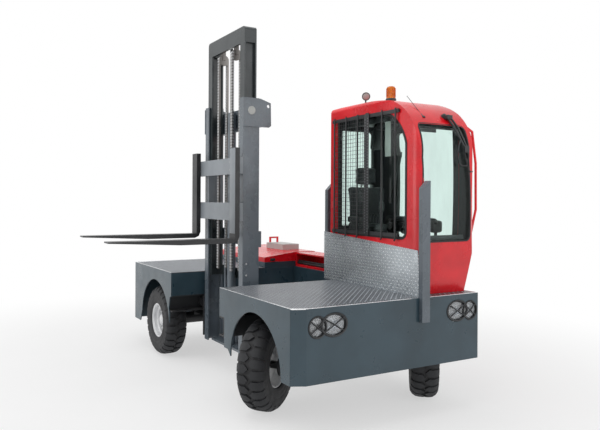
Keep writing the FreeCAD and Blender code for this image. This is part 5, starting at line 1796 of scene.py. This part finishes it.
@dataclass
class Seat(Fitting):
    """Suspension with its folds, and three padded cushions."""

    voxel: float = 0.009
    pressure: float = 4.0
    swell: float = 0.012
    start_share: float = 0.6
    round_share: float = 0.30
    longest_edge: float = 0.05
    frames: int = 14
    folds: int = 5
    fold_pitch: float = 0.024
    fold_height: float = 0.016
    bolster_from: float = 0.55

    def pad(self, name: str, low: Vector, high: Vector, waist: float,
            wings: float = 0.0) -> None:
        """One cushion between two corners.

        Args:
            name: piece name.
            low: low corner.
            high: high corner.
            waist: share by which the sides pull in at mid height.
            wings: how far the side bolsters stand forward, in metres.
        """
        shop = self.shop
        inset = Vector((1, 1, 1)) * self.swell * self.start_share
        form = Form().box(low + inset, high - inset, min(high - low) * self.round_share)
        long = [e for e in form.bm.edges if e.calc_length() > self.longest_edge]
        bmesh.ops.subdivide_edges(form.bm, edges=long, cuts=5, use_grid_fill=True)
        middle, half = (low + high) / 2, (high - low) / 2
        for vert in form.bm.verts:
            rel = Vector([(vert.co[a] - middle[a]) / half[a] for a in range(3)])
            pull = waist * (1 - rel.z ** 2) * (1 - rel.x ** 2 * 0.3)
            vert.co.y = middle.y + (vert.co.y - middle.y) * (1 - pull)
            if wings and abs(rel.y) > self.bolster_from and rel.x > 0:
                vert.co.x += wings * (abs(rel.y) - self.bolster_from) / (1 - self.bolster_from)
        made = form.settle(name, 60.0)
        self.inflate(made)
        shop.keep(made, "seat_cloth", Body.CHASSIS, ["seat"])
        for polygon in made.data.polygons:
            polygon.use_smooth = True

    def inflate(self, made: Piece) -> None:
        """Blow the pad up as cloth, cap the movement and keep the result.

        Args:
            made: the pad.
        """
        remesh = made.modifiers.new("skin", "REMESH")
        remesh.mode = "VOXEL"
        remesh.voxel_size = self.voxel
        rest = evaluated_mesh(made)
        made.modifiers.clear()
        made.data = rest
        start = [v.co.copy() for v in rest.vertices]
        cloth = made.modifiers.new("cloth", "CLOTH")
        cloth.settings.use_pressure = True
        cloth.settings.uniform_pressure_force = self.pressure
        cloth.settings.effector_weights.gravity = 0.0
        cloth.point_cache.frame_end = self.frames
        for frame in range(1, self.frames + 1):
            bpy.context.scene.frame_set(frame)
        blown = evaluated_mesh(made)
        made.modifiers.clear()
        for vert, old in zip(blown.vertices, start):
            move = vert.co - old
            if move.length > self.swell:
                vert.co = old + move.normalized() * self.swell
        made.data = blown
        bpy.context.scene.frame_set(1)

    def make(self) -> None:
        """Make the seat."""
        shop = self.shop
        low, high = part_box("seat")
        deep, wide = high.x - low.x, high.y - low.y

        def spot(x: float, y: float, z: float) -> Vector:
            """Point from the seat's rear, its fork-side edge and the floor."""
            return low + Vector((x, y, z))

        form = Form().box(spot(0.17, 0.075, 0), spot(deep - 0.06, wide - 0.075, 0.16), 0.02)
        for k in range(self.folds):
            z = 0.16 + self.fold_pitch * k
            form.box(spot(0.19, 0.09, z), spot(deep - 0.08, wide - 0.09, z + self.fold_height), 0.007)
        form.box(spot(0.12, 0.04, 0.272), spot(deep - 0.03, wide - 0.04, 0.302), 0.008)
        form.box(spot(0.21, 0.11, 0.155), spot(deep - 0.10, wide - 0.11, 0.275))
        for y in (wide / 2 - 0.06, wide / 2 + 0.06):
            form.tube([spot(0.062, y, 0.94), spot(0.062, y, 1.06)], 0.007)
        shop.solid("seat_suspension", "trim_black", form, 40.0)
        self.pad("seat_cushion", spot(0.11, 0, 0.30), spot(deep, wide, 0.43), 0.0)
        self.pad("seat_back", spot(0, 0, 0.37), spot(0.13, wide, 1.00), 0.10, 0.03)
        self.pad("head_rest", spot(0.012, 0.10, 1.005), spot(0.108, wide - 0.10, 1.20), 0.06)


@dataclass
class ArmControls(Fitting):
    """Armrest pods with their grips, and three small levers."""

    pod_y: Flat = (1.425, 1.945)
    lever_y: float = 1.432
    levers: tuple[float, ...] = (-0.80, -0.75, -0.70)

    def make(self) -> None:
        """Make the controls."""
        shop = self.shop
        at, form = shop.at, Form()
        for y in self.pod_y:
            form.box(at(-1.16, y - 0.045, 1.60), at(-0.62, y + 0.045, 1.70), 0.02)
            form.box(at(-1.19, y - 0.035, 1.70), at(-0.86, y + 0.035, 1.765), 0.02)
            form.tube([at(-0.70, y, 1.69), at(-0.69, y, 1.80), at(-0.675, y, 1.83)], 0.011, 0.03)
            grip = [(-0.03, 0.014), (0.0, 0.024), (0.05, 0.028), (0.085, 0.022), (0.10, 0.0)]
            form.turning(grip, at(-0.675, y, 1.83), (0.1, 0, 1), 20)
        for x in self.levers:
            form.tube([at(x, self.lever_y, 1.69), at(x - 0.006, self.lever_y, 1.775)], 0.006)
            knob = [(0.0, 0.010), (0.014, 0.015), (0.028, 0.010), (0.032, 0.0)]
            form.turning(knob, at(x - 0.006, self.lever_y, 1.77), Axis.Z.value, 14)
        shop.solid("arm_controls", "trim_black", form, 45.0)


@dataclass
class SteeringGrip(Fitting):
    """Hub cap and grip of the steering wheel."""

    hub: Point = (-0.440, 1.7005, 1.683)
    tilt: float = 24.0
    ring: float = 0.166
    grip: float = 0.018

    def make(self) -> None:
        """Make the grip."""
        shop = self.shop
        hub, up = shop.at(*self.hub), Vector((-math.tan(math.radians(self.tilt)), 0, 1))
        form = Form().turning([(-0.02, 0.045), (0.012, 0.048), (0.022, 0.036), (0.024, 0.0)], hub, up, 28)
        form.ring([(self.grip * c, self.ring + self.grip * s) for c, s in circle(14)], hub, up, 56)
        shop.solid("wheel_grip", "trim_black", form, 60.0)


DASH = (
    Listed("dash_shelf", "console_grey", 40.0, (
        Sheet(((-0.115, 1.50), (-0.105, 1.615), (-0.30, 1.60), (-0.40, 1.50)), Plane.XZ, (1.40, 1.955),
              0.012),)),
    Listed("instrument_pods", "trim_black", 45.0, (
        Block((-0.44, 1.50, 1.62), (-0.36, 1.70, 1.79), 0.03),
        Block((-0.42, 1.80, 1.62), (-0.35, 1.93, 1.74), 0.025),
        Pipe(((-0.40, 1.60, 1.60), (-0.40, 1.60, 1.70)), 0.02),
        Pipe(((-0.385, 1.865, 1.58), (-0.385, 1.865, 1.66)), 0.015))),
)

UNDER_ROOF = (
    Listed("roof_mirror", "trim_black", 45.0, (
        Pipe(((-1.02, 1.62, 2.87), (-1.02, 1.62, 2.72), (-1.00, 1.60, 2.66)), 0.010, 0.03),
        Sheet(((1.555, 2.46), (1.685, 2.46), (1.665, 2.69), (1.575, 2.69)), Plane.YZ, (-1.02, -0.985),
              0.008, 0.03),
        Block((-1.18, 1.50, 2.72), (-0.78, 1.88, 2.80), 0.02),
        Block((-0.94, 1.56, 2.66), (-0.80, 1.72, 2.73), 0.015))),
    Listed("roof_side_trim", "liner_grey", 40.0, (
        Sheet(((-1.30, 2.70), (-0.40, 2.70), (-0.33, 2.62), (-0.33, 2.66), (-0.40, 2.775), (-0.55, 2.845),
               (-1.30, 2.845)), Plane.XZ, (1.400, 1.412), 0.002),)),
    Listed("side_blind", "box_pale", 40.0, (Block((-0.60, 1.405, 2.36), (-0.52, 1.415, 2.70), 0.004),)),
    Listed("screen_visor", "trim_black", 45.0, (
        Pipe(((-0.22, 1.46, 2.63), (-0.22, 1.93, 2.63)), 0.022),
        Block((-0.225, 1.47, 2.575), (-0.215, 1.70, 2.630), 0.003))),
)


@dataclass
class DoorTrim(Fitting):
    """Seal, handle, lock and hinge bolts of the cab door."""

    seal_spans: int = 22
    seal_inset: float = 0.022
    grip_inset: float = 0.055
    grip_z: float = 1.47
    grip_rise: float = 0.09
    grip_out: float = 0.036
    hinge_z: Flat = (1.380, 2.440)
    bolt_x: Flat = (0.037, 0.065)

    def make(self) -> None:
        """Make the trim."""
        shop = self.shop
        low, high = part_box("cab_door")
        door = Surface(shop, "cab_door")
        out = Vector(Axis.Y.value)

        def on_door(x: float, z: float, lift: float) -> Vector:
            """Point over the door's outer face at (x, z)."""
            return door.seen(Vector((x, high.y + 0.5, z)), -out, Vector((x, high.y - 0.05, z))) + out * lift

        edge, foot = high.x - self.seal_inset, low.z + self.seal_inset
        pitch = (high.z - low.z - 2 * self.seal_inset) / self.seal_spans
        rail = [on_door(edge, foot + pitch * k, 0.002) for k in range(1, self.seal_spans)]
        form = Form()
        for run in zip(rail, rail[1:]):
            form.tube(run, 0.006, 0.0, 6)
        shop.solid("door_seal", "seal_rubber", form, 60.0, Body.DOOR)
        grip, middle = high.x - self.grip_inset, self.grip_z
        outline = [(grip + side, middle + up * self.grip_rise)
                   for side, up in ((-0.035, -1), (0.020, -1), (0.020, 1), (-0.035, 1))]
        span = tuple(on_door(grip, middle, lift).y for lift in (-0.004, 0.008))
        form = Form().plate(outline, Plane.XZ, span, 0.003, 0.02)
        form.tube([on_door(grip, z, lift) for z, lift in (
            (middle - 0.06, 0.0), (middle - 0.06, self.grip_out), (middle + 0.06, self.grip_out),
            (middle + 0.06, 0.0))], 0.009, 0.02)
        lock = [(0.0, 0.014), (0.010, 0.013), (0.012, 0.0)]
        form.turning(lock, on_door(grip - 0.008, middle - 0.115, 0.0), out, 20)
        shop.solid("door_handle", "trim_black", form, 45.0, Body.DOOR)
        form, bolt = Form(), [(0.0, 0.008), (0.006, 0.008), (0.008, 0.006)]
        for z in self.hinge_z:
            for shift in self.bolt_x:
                form.turning(bolt, on_door(low.x + shift, z, 0.0), out, 6)
        shop.solid("door_hinge_bolts", "bolt_zinc", form, 30.0, Body.DOOR)


# ------ mast and hood fittings


@dataclass
class Chains(Fitting):
    """Link plates and pins over the straight falls of the lift chains."""

    pitch: float = 0.032
    link: float = 0.62
    width: float = 0.038
    thickness: float = 0.020
    skin: float = 0.0012
    half_plate: float = 0.0028
    plates: tuple[float, ...] = (-0.8, -0.27, 0.27, 0.8)
    top_gap: float = 0.12

    def make(self) -> None:
        """Make the links."""
        shop = self.shop
        low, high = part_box("lift_chains")
        foot, reach, half = low.z + 0.004, self.pitch * self.link, self.half_plate
        w, t = self.width / 2 + self.skin, self.thickness / 2 + self.skin
        pin = [(-w - 0.001, 0.004), (w + 0.001, 0.004)]
        count = int((high.z - low.z - self.top_gap) / self.pitch)
        for side, x in (("rear", low.x + self.width / 2), ("front", high.x - self.width / 2)):
            for fall, y in (("fork", low.y + self.thickness / 2), ("back", high.y - self.thickness / 2)):
                form = Form()
                for middle in (x + across * w for across in self.plates):
                    form.box((middle - half, y - t, foot), (middle + half, y + t, foot + reach), 0.0012)
                form.turning(pin, (x, y, foot + reach * 0.8), Axis.X.value, 8)
                shop.copied(shop.row, f"chain_links_{side}_{fall}", "bolt_zinc", Body.INNER, form,
                            {"Count": count, "Step Z": self.pitch})


@dataclass
class CarriageGear(Fitting):
    """Pale wear plate on the front fork's shank and bolts along the carriage bars."""

    shank_thickness: float = 0.050
    shank_width: float = 0.135
    side_gap: float = 0.003
    bolts: int = 4
    bolt_pitch: float = 0.055
    bolt_inset: float = 0.035
    bar_drops: Flat = (0.045, 0.125)

    def make(self) -> None:
        """Make the fittings."""
        shop = self.shop
        low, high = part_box("fork_carriage")
        fork_low, fork_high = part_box("forks")
        face = low.y - self.shank_thickness
        rear, front = fork_high.x - self.shank_width + self.side_gap, fork_high.x - self.side_gap
        plate = Form().box((rear, face - 0.0015, fork_low.z + 0.10),
                           (front, face + 0.001, fork_high.z - 0.004), 0.001)
        shop.solid("shank_plate", "carriage_grey", plate, 30.0, Body.CARRIAGE)
        form = Form()
        head = [(-0.001, 0.013), (0.003, 0.013), (0.003, 0.010), (0.011, 0.010), (0.013, 0.008)]
        for z in (high.z - drop for drop in self.bar_drops):
            for k in range(self.bolts):
                x = high.x - self.bolt_inset - self.bolt_pitch * k
                form.turning(head, (x, low.y, z), Axis.FORK_SIDE.value, 6)
        shop.solid("carriage_bolts", "bolt_zinc", form, 30.0, Body.CARRIAGE)


@dataclass
class MastHead(Fitting):
    """Bolts down the front rail of the outer mast and the plug in its head plate."""

    bolts: int = 7
    bolt_y: float = 0.045
    bolt_start: float = 0.25
    bolt_pitch: float = 0.12
    plug_y: float = 0.470
    plug_z: float = 2.870
    plug_r: float = 0.035

    def make(self) -> None:
        """Make the fittings."""
        shop = self.shop
        low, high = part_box("outer_mast")
        mast = Surface(shop, "outer_mast")
        forward = Vector(Axis.X.value)

        def on_rail(y: float, z: float) -> Vector:
            """Point on the front rail's outer face."""
            return mast.seen(Vector((high.x + 0.5, y, z)), -forward, Vector((high.x, y, z)))

        form = Form()
        for k in range(self.bolts):
            spot = on_rail(low.y + self.bolt_y, low.z + self.bolt_start + self.bolt_pitch * k)
            form.turning([(-0.001, 0.011), (0.007, 0.011), (0.009, 0.008)], spot, forward, 6)
        shop.solid("rail_bolts", "bolt_zinc", form, 30.0, Body.OUTER)
        spot = on_rail(shop.side_y + self.plug_y + self.plug_r, self.plug_z)
        spot.y -= self.plug_r
        plug = [(-0.001, 0.044), (0.004, 0.044), (0.005, 0.034), (0.003, 0.032), (0.003, 0.0)]
        shop.solid("head_plate_plug", "box_pale", Form().turning(plug, spot, forward, 36), 40.0, Body.OUTER)


@dataclass
class HoodLatch(Fitting):
    """Latch of the engine hood."""

    start: float = 0.10
    length: float = 0.07
    span_z: Flat = (0.022, 0.056)

    def make(self) -> None:
        """Make the latch."""
        shop = self.shop
        low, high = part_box("engine_hood")
        foot, top = (low.z + z for z in self.span_z)
        y = low.y + self.start
        form = Form().box((high.x - 0.004, y, foot), (high.x + 0.008, y + self.length, top), 0.004)
        form.turning([(0.0, 0.012), (0.010, 0.011), (0.012, 0.0)],
                     (high.x + 0.006, y + self.length / 2, (foot + top) / 2), Axis.X.value, 16)
        shop.solid("hood_latch", "trim_black", form, 40.0, Body.HOOD)


@dataclass
class Hoses(Fitting):
    """Hoses that run straight through the hose cover, from one end wall into the other."""

    end: float = 0.019
    radius: float = 0.015
    routes: tuple[Flat, ...] = ((0.046, 0.030), (0.046, 0.062), (0.068, 0.046))

    def make(self) -> None:
        """Make the hoses."""
        shop = self.shop
        low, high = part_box("hose_cover")
        form = Form()
        for lift, inward in self.routes:
            y, z = low.y + inward, low.z + lift
            form.tube([(low.x + self.end, y, z), (high.x - self.end, y, z)], self.radius)
        shop.solid("cover_hoses", "hose_rubber", form, 50.0)


@dataclass
class TailGear(Fitting):
    """Vent slats and tow pin of the tail plate."""

    slats: int = 9
    slat_pitch: float = 0.042
    slat_half: float = 0.30
    slat_section: tuple[Flat, ...] = ((0.001, 0.520), (-0.010, 0.512), (-0.010, 0.516), (0.001, 0.530))
    lug_half: float = 0.07
    lug_out: float = 0.030
    lug_thickness: float = 0.020
    lug_z: Flat = (0.395, 0.455)
    pin_out: float = 0.018

    def make(self) -> None:
        """Make the fittings."""
        shop = self.shop
        low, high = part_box("rear_walls")
        x, middle = low.x, (low.y + high.y) / 2
        slat = Form().plate([(x + a, z) for a, z in self.slat_section], Plane.XZ,
                            (middle - self.slat_half, middle + self.slat_half), 0.001)
        shop.copied(shop.row, "tail_slats", "under_black", Body.CHASSIS, slat,
                    {"Count": self.slats, "Step Z": self.slat_pitch})
        form = Form()
        for z in self.lug_z:
            form.box((x - self.lug_out, middle - self.lug_half, z),
                     (x + 0.001, middle + self.lug_half, z + self.lug_thickness), 0.004)
        pin = [(0.385, 0.014), (0.490, 0.014), (0.494, 0.022), (0.502, 0.018)]
        form.turning(pin, (x - self.pin_out, middle, 0.0), Axis.Z.value, 20)
        shop.solid("tow_pin", "cast_dark", form, 40.0)


# ------ studio


@dataclass(frozen=True)
class SoftBox:
    """One large square lamp."""

    name: str
    place: Point
    size: float
    power: float

    def hang(self, target: Point) -> None:
        """Hang it.

        Args:
            target: the point it is turned to.
        """
        lamp = bpy.data.lights.new(self.name, "AREA")
        lamp.shape = "SQUARE"
        lamp.size = self.size
        lamp.energy = self.power
        made = linked(self.name, lamp)
        made.location = self.place
        made.rotation_euler = (Vector(target) - Vector(self.place)).to_track_quat("-Z", "Y").to_euler()


@dataclass
class Studio(Fitting):
    """White surround, floor, lights and camera."""

    camera_place: Point = (4.083, -2.525, 1.941)
    yaw: float = 28.986
    pitch: float = -0.109
    roll: float = 0.311
    lens: float = 36.904
    sensor: float = 36.0
    view_limit: float = 200.0
    shift: Flat = (0.0584, -0.0247)
    surround: float = 0.42
    floor_half: float = 30.0
    floor_z: float = -0.0005
    floor_tones: tuple[Colour, Colour] = ((0.93, 0.93, 0.93), (0.96, 0.96, 0.96))
    shadow_radii: Flat = (2.2, 6.5)
    least_glow: float = 0.55
    target: Point = (0.0, 0.2, 1.3)
    boxes: tuple[SoftBox, ...] = (
        SoftBox("overhead", (0.5, -1.0, 8.0), 7.0, 230.0),
        SoftBox("fork_side", (-2.5, -8.0, 4.0), 6.0, 165.0),
        SoftBox("front", (8.0, 2.5, 3.5), 5.0, 100.0),
    )

    def make(self) -> None:
        """Set up the studio."""
        self.world()
        self.floor()
        for box in self.boxes:
            box.hang(self.target)
        self.camera()
        bpy.context.scene.view_settings.view_transform = "Standard"

    def world(self) -> None:
        """Soft surround that reads white behind the truck."""
        world = bpy.data.worlds.new("studio")
        bpy.context.scene.world = world
        world.use_nodes = True
        world.node_tree.nodes.clear()
        tree = NodeTree(world.node_tree)
        white = (1.0, 1.0, 1.0, 1.0)
        lights, shows = (tree.node("ShaderNodeBackground", {"Color": white, "Strength": strength}).outputs[0]
                         for strength in (self.surround, 1.0))
        mix = tree.node("ShaderNodeMixShader", {0: tree.sight(), 1: lights, 2: shows})
        tree.node("ShaderNodeOutputWorld", {0: mix.outputs[0]})

    def floor(self) -> None:
        """Pale floor that keeps a soft shadow near the truck and turns plain white farther out."""
        half, form = self.floor_half, Form()
        form.bm.faces.new([form.bm.verts.new((x, y, self.floor_z))
                           for x, y in ((-half, -half), (half, -half), (half, half), (-half, half))])
        floor = form.settle("studio_floor", 0.0)
        s = Shader("studio_floor")
        s.set(Roughness=0.9, Base_Color=s.mix(s.ramp(s.noise(0.8, 3.0), 0.3, 0.7), *self.floor_tones))
        spread = s.node("ShaderNodeVectorMath", {0: s.coords}, operation="LENGTH").outputs["Value"]
        near, far = self.shadow_radii
        inputs = {"From Min": near, "From Max": far, "To Min": self.least_glow, "Value": spread}
        away = s.node("ShaderNodeMapRange", inputs, interpolation_type="SMOOTHSTEP")
        share = s.maths("MULTIPLY", s.sight(), away.outputs["Result"])
        glow = s.node("ShaderNodeEmission", {"Strength": 1.0})
        mix = s.node("ShaderNodeMixShader", {0: share, 1: s.surface.outputs[0], 2: glow.outputs[0]})
        s.feed(s.output.inputs["Surface"], mix.outputs[0])
        floor.data.materials.append(s.material)
        floor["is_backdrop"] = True

    def camera(self) -> None:
        """Camera at eye height before the fork-side front corner."""
        shop = self.shop
        data = bpy.data.cameras.new("camera")
        data.lens = self.lens
        data.sensor_width = self.sensor
        data.shift_x, data.shift_y = self.shift
        data.clip_end = self.view_limit
        made = linked("camera", data)
        yaw, pitch = math.radians(self.yaw), math.radians(self.pitch)
        ahead = Vector((-math.cos(yaw) * math.cos(pitch), math.sin(yaw) * math.cos(pitch), math.sin(pitch)))
        turn = ahead.to_track_quat("-Z", "Y").to_matrix().to_4x4()
        roll = Matrix.Rotation(math.radians(self.roll), 4, "Z")
        made.matrix_world = Matrix.Translation(shop.at(*self.camera_place)) @ turn @ roll
        bpy.context.scene.camera = made


# ------ main


WHEELS = (
    Wheel("front_right", Body.FRONT_RIGHT, -1.0),
    Wheel("front_left", Body.FRONT_LEFT, 1.0),
    Wheel("rear_right", Body.REAR_RIGHT, -1.0),
    Wheel("rear_left", Body.REAR_LEFT, 1.0),
)

PANES = (
    Pane("screen_rubber", "cab_glass", "cab_shell", Body.CHASSIS, Axis.X, lip=0.011),
    Pane("fork_window_rubber", "cab_glass", "cab_shell", Body.CHASSIS, Axis.FORK_SIDE, lip=0.020),
    Pane("rear_rubber", "cab_glass", "cab_shell", Body.CHASSIS, Axis.TAIL),
    Pane("door_rubber", "door_glass", "cab_door", Body.DOOR, Axis.Y),
)


def corners(bounds: Iterable[Point]) -> list[list[float]]:
    """Plain lists of numbers from a bounding box."""
    return [[float(c) for c in corner] for corner in bounds]


def main() -> None:
    """Load the frame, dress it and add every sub-assembly."""
    logging.basicConfig(level=logging.INFO)
    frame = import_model()
    frame_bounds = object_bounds()
    shop = Workshop(frame)
    NodeFinishes().dress(shop)
    for fitting in (*WHEELS, Platforms(), Headlamps(), TailLamps(), *PANES, LiningAndShade(), Guard(), Beacon(),
                    WorkLamp(), Aerial(), Wiper(), Seat(), ArmControls(), *DASH, SteeringGrip(), *UNDER_ROOF,
                    DoorTrim(), Chains(), CarriageGear(), MastHead(), HoodLatch(), Hoses(), TailGear(),
                    Studio()):
        fitting.build(shop)
    LOG.info("%d pieces", shop.made)
    {"frame": corners(frame_bounds), "visual": corners(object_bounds())}


if __name__ == "__main__":
    main()
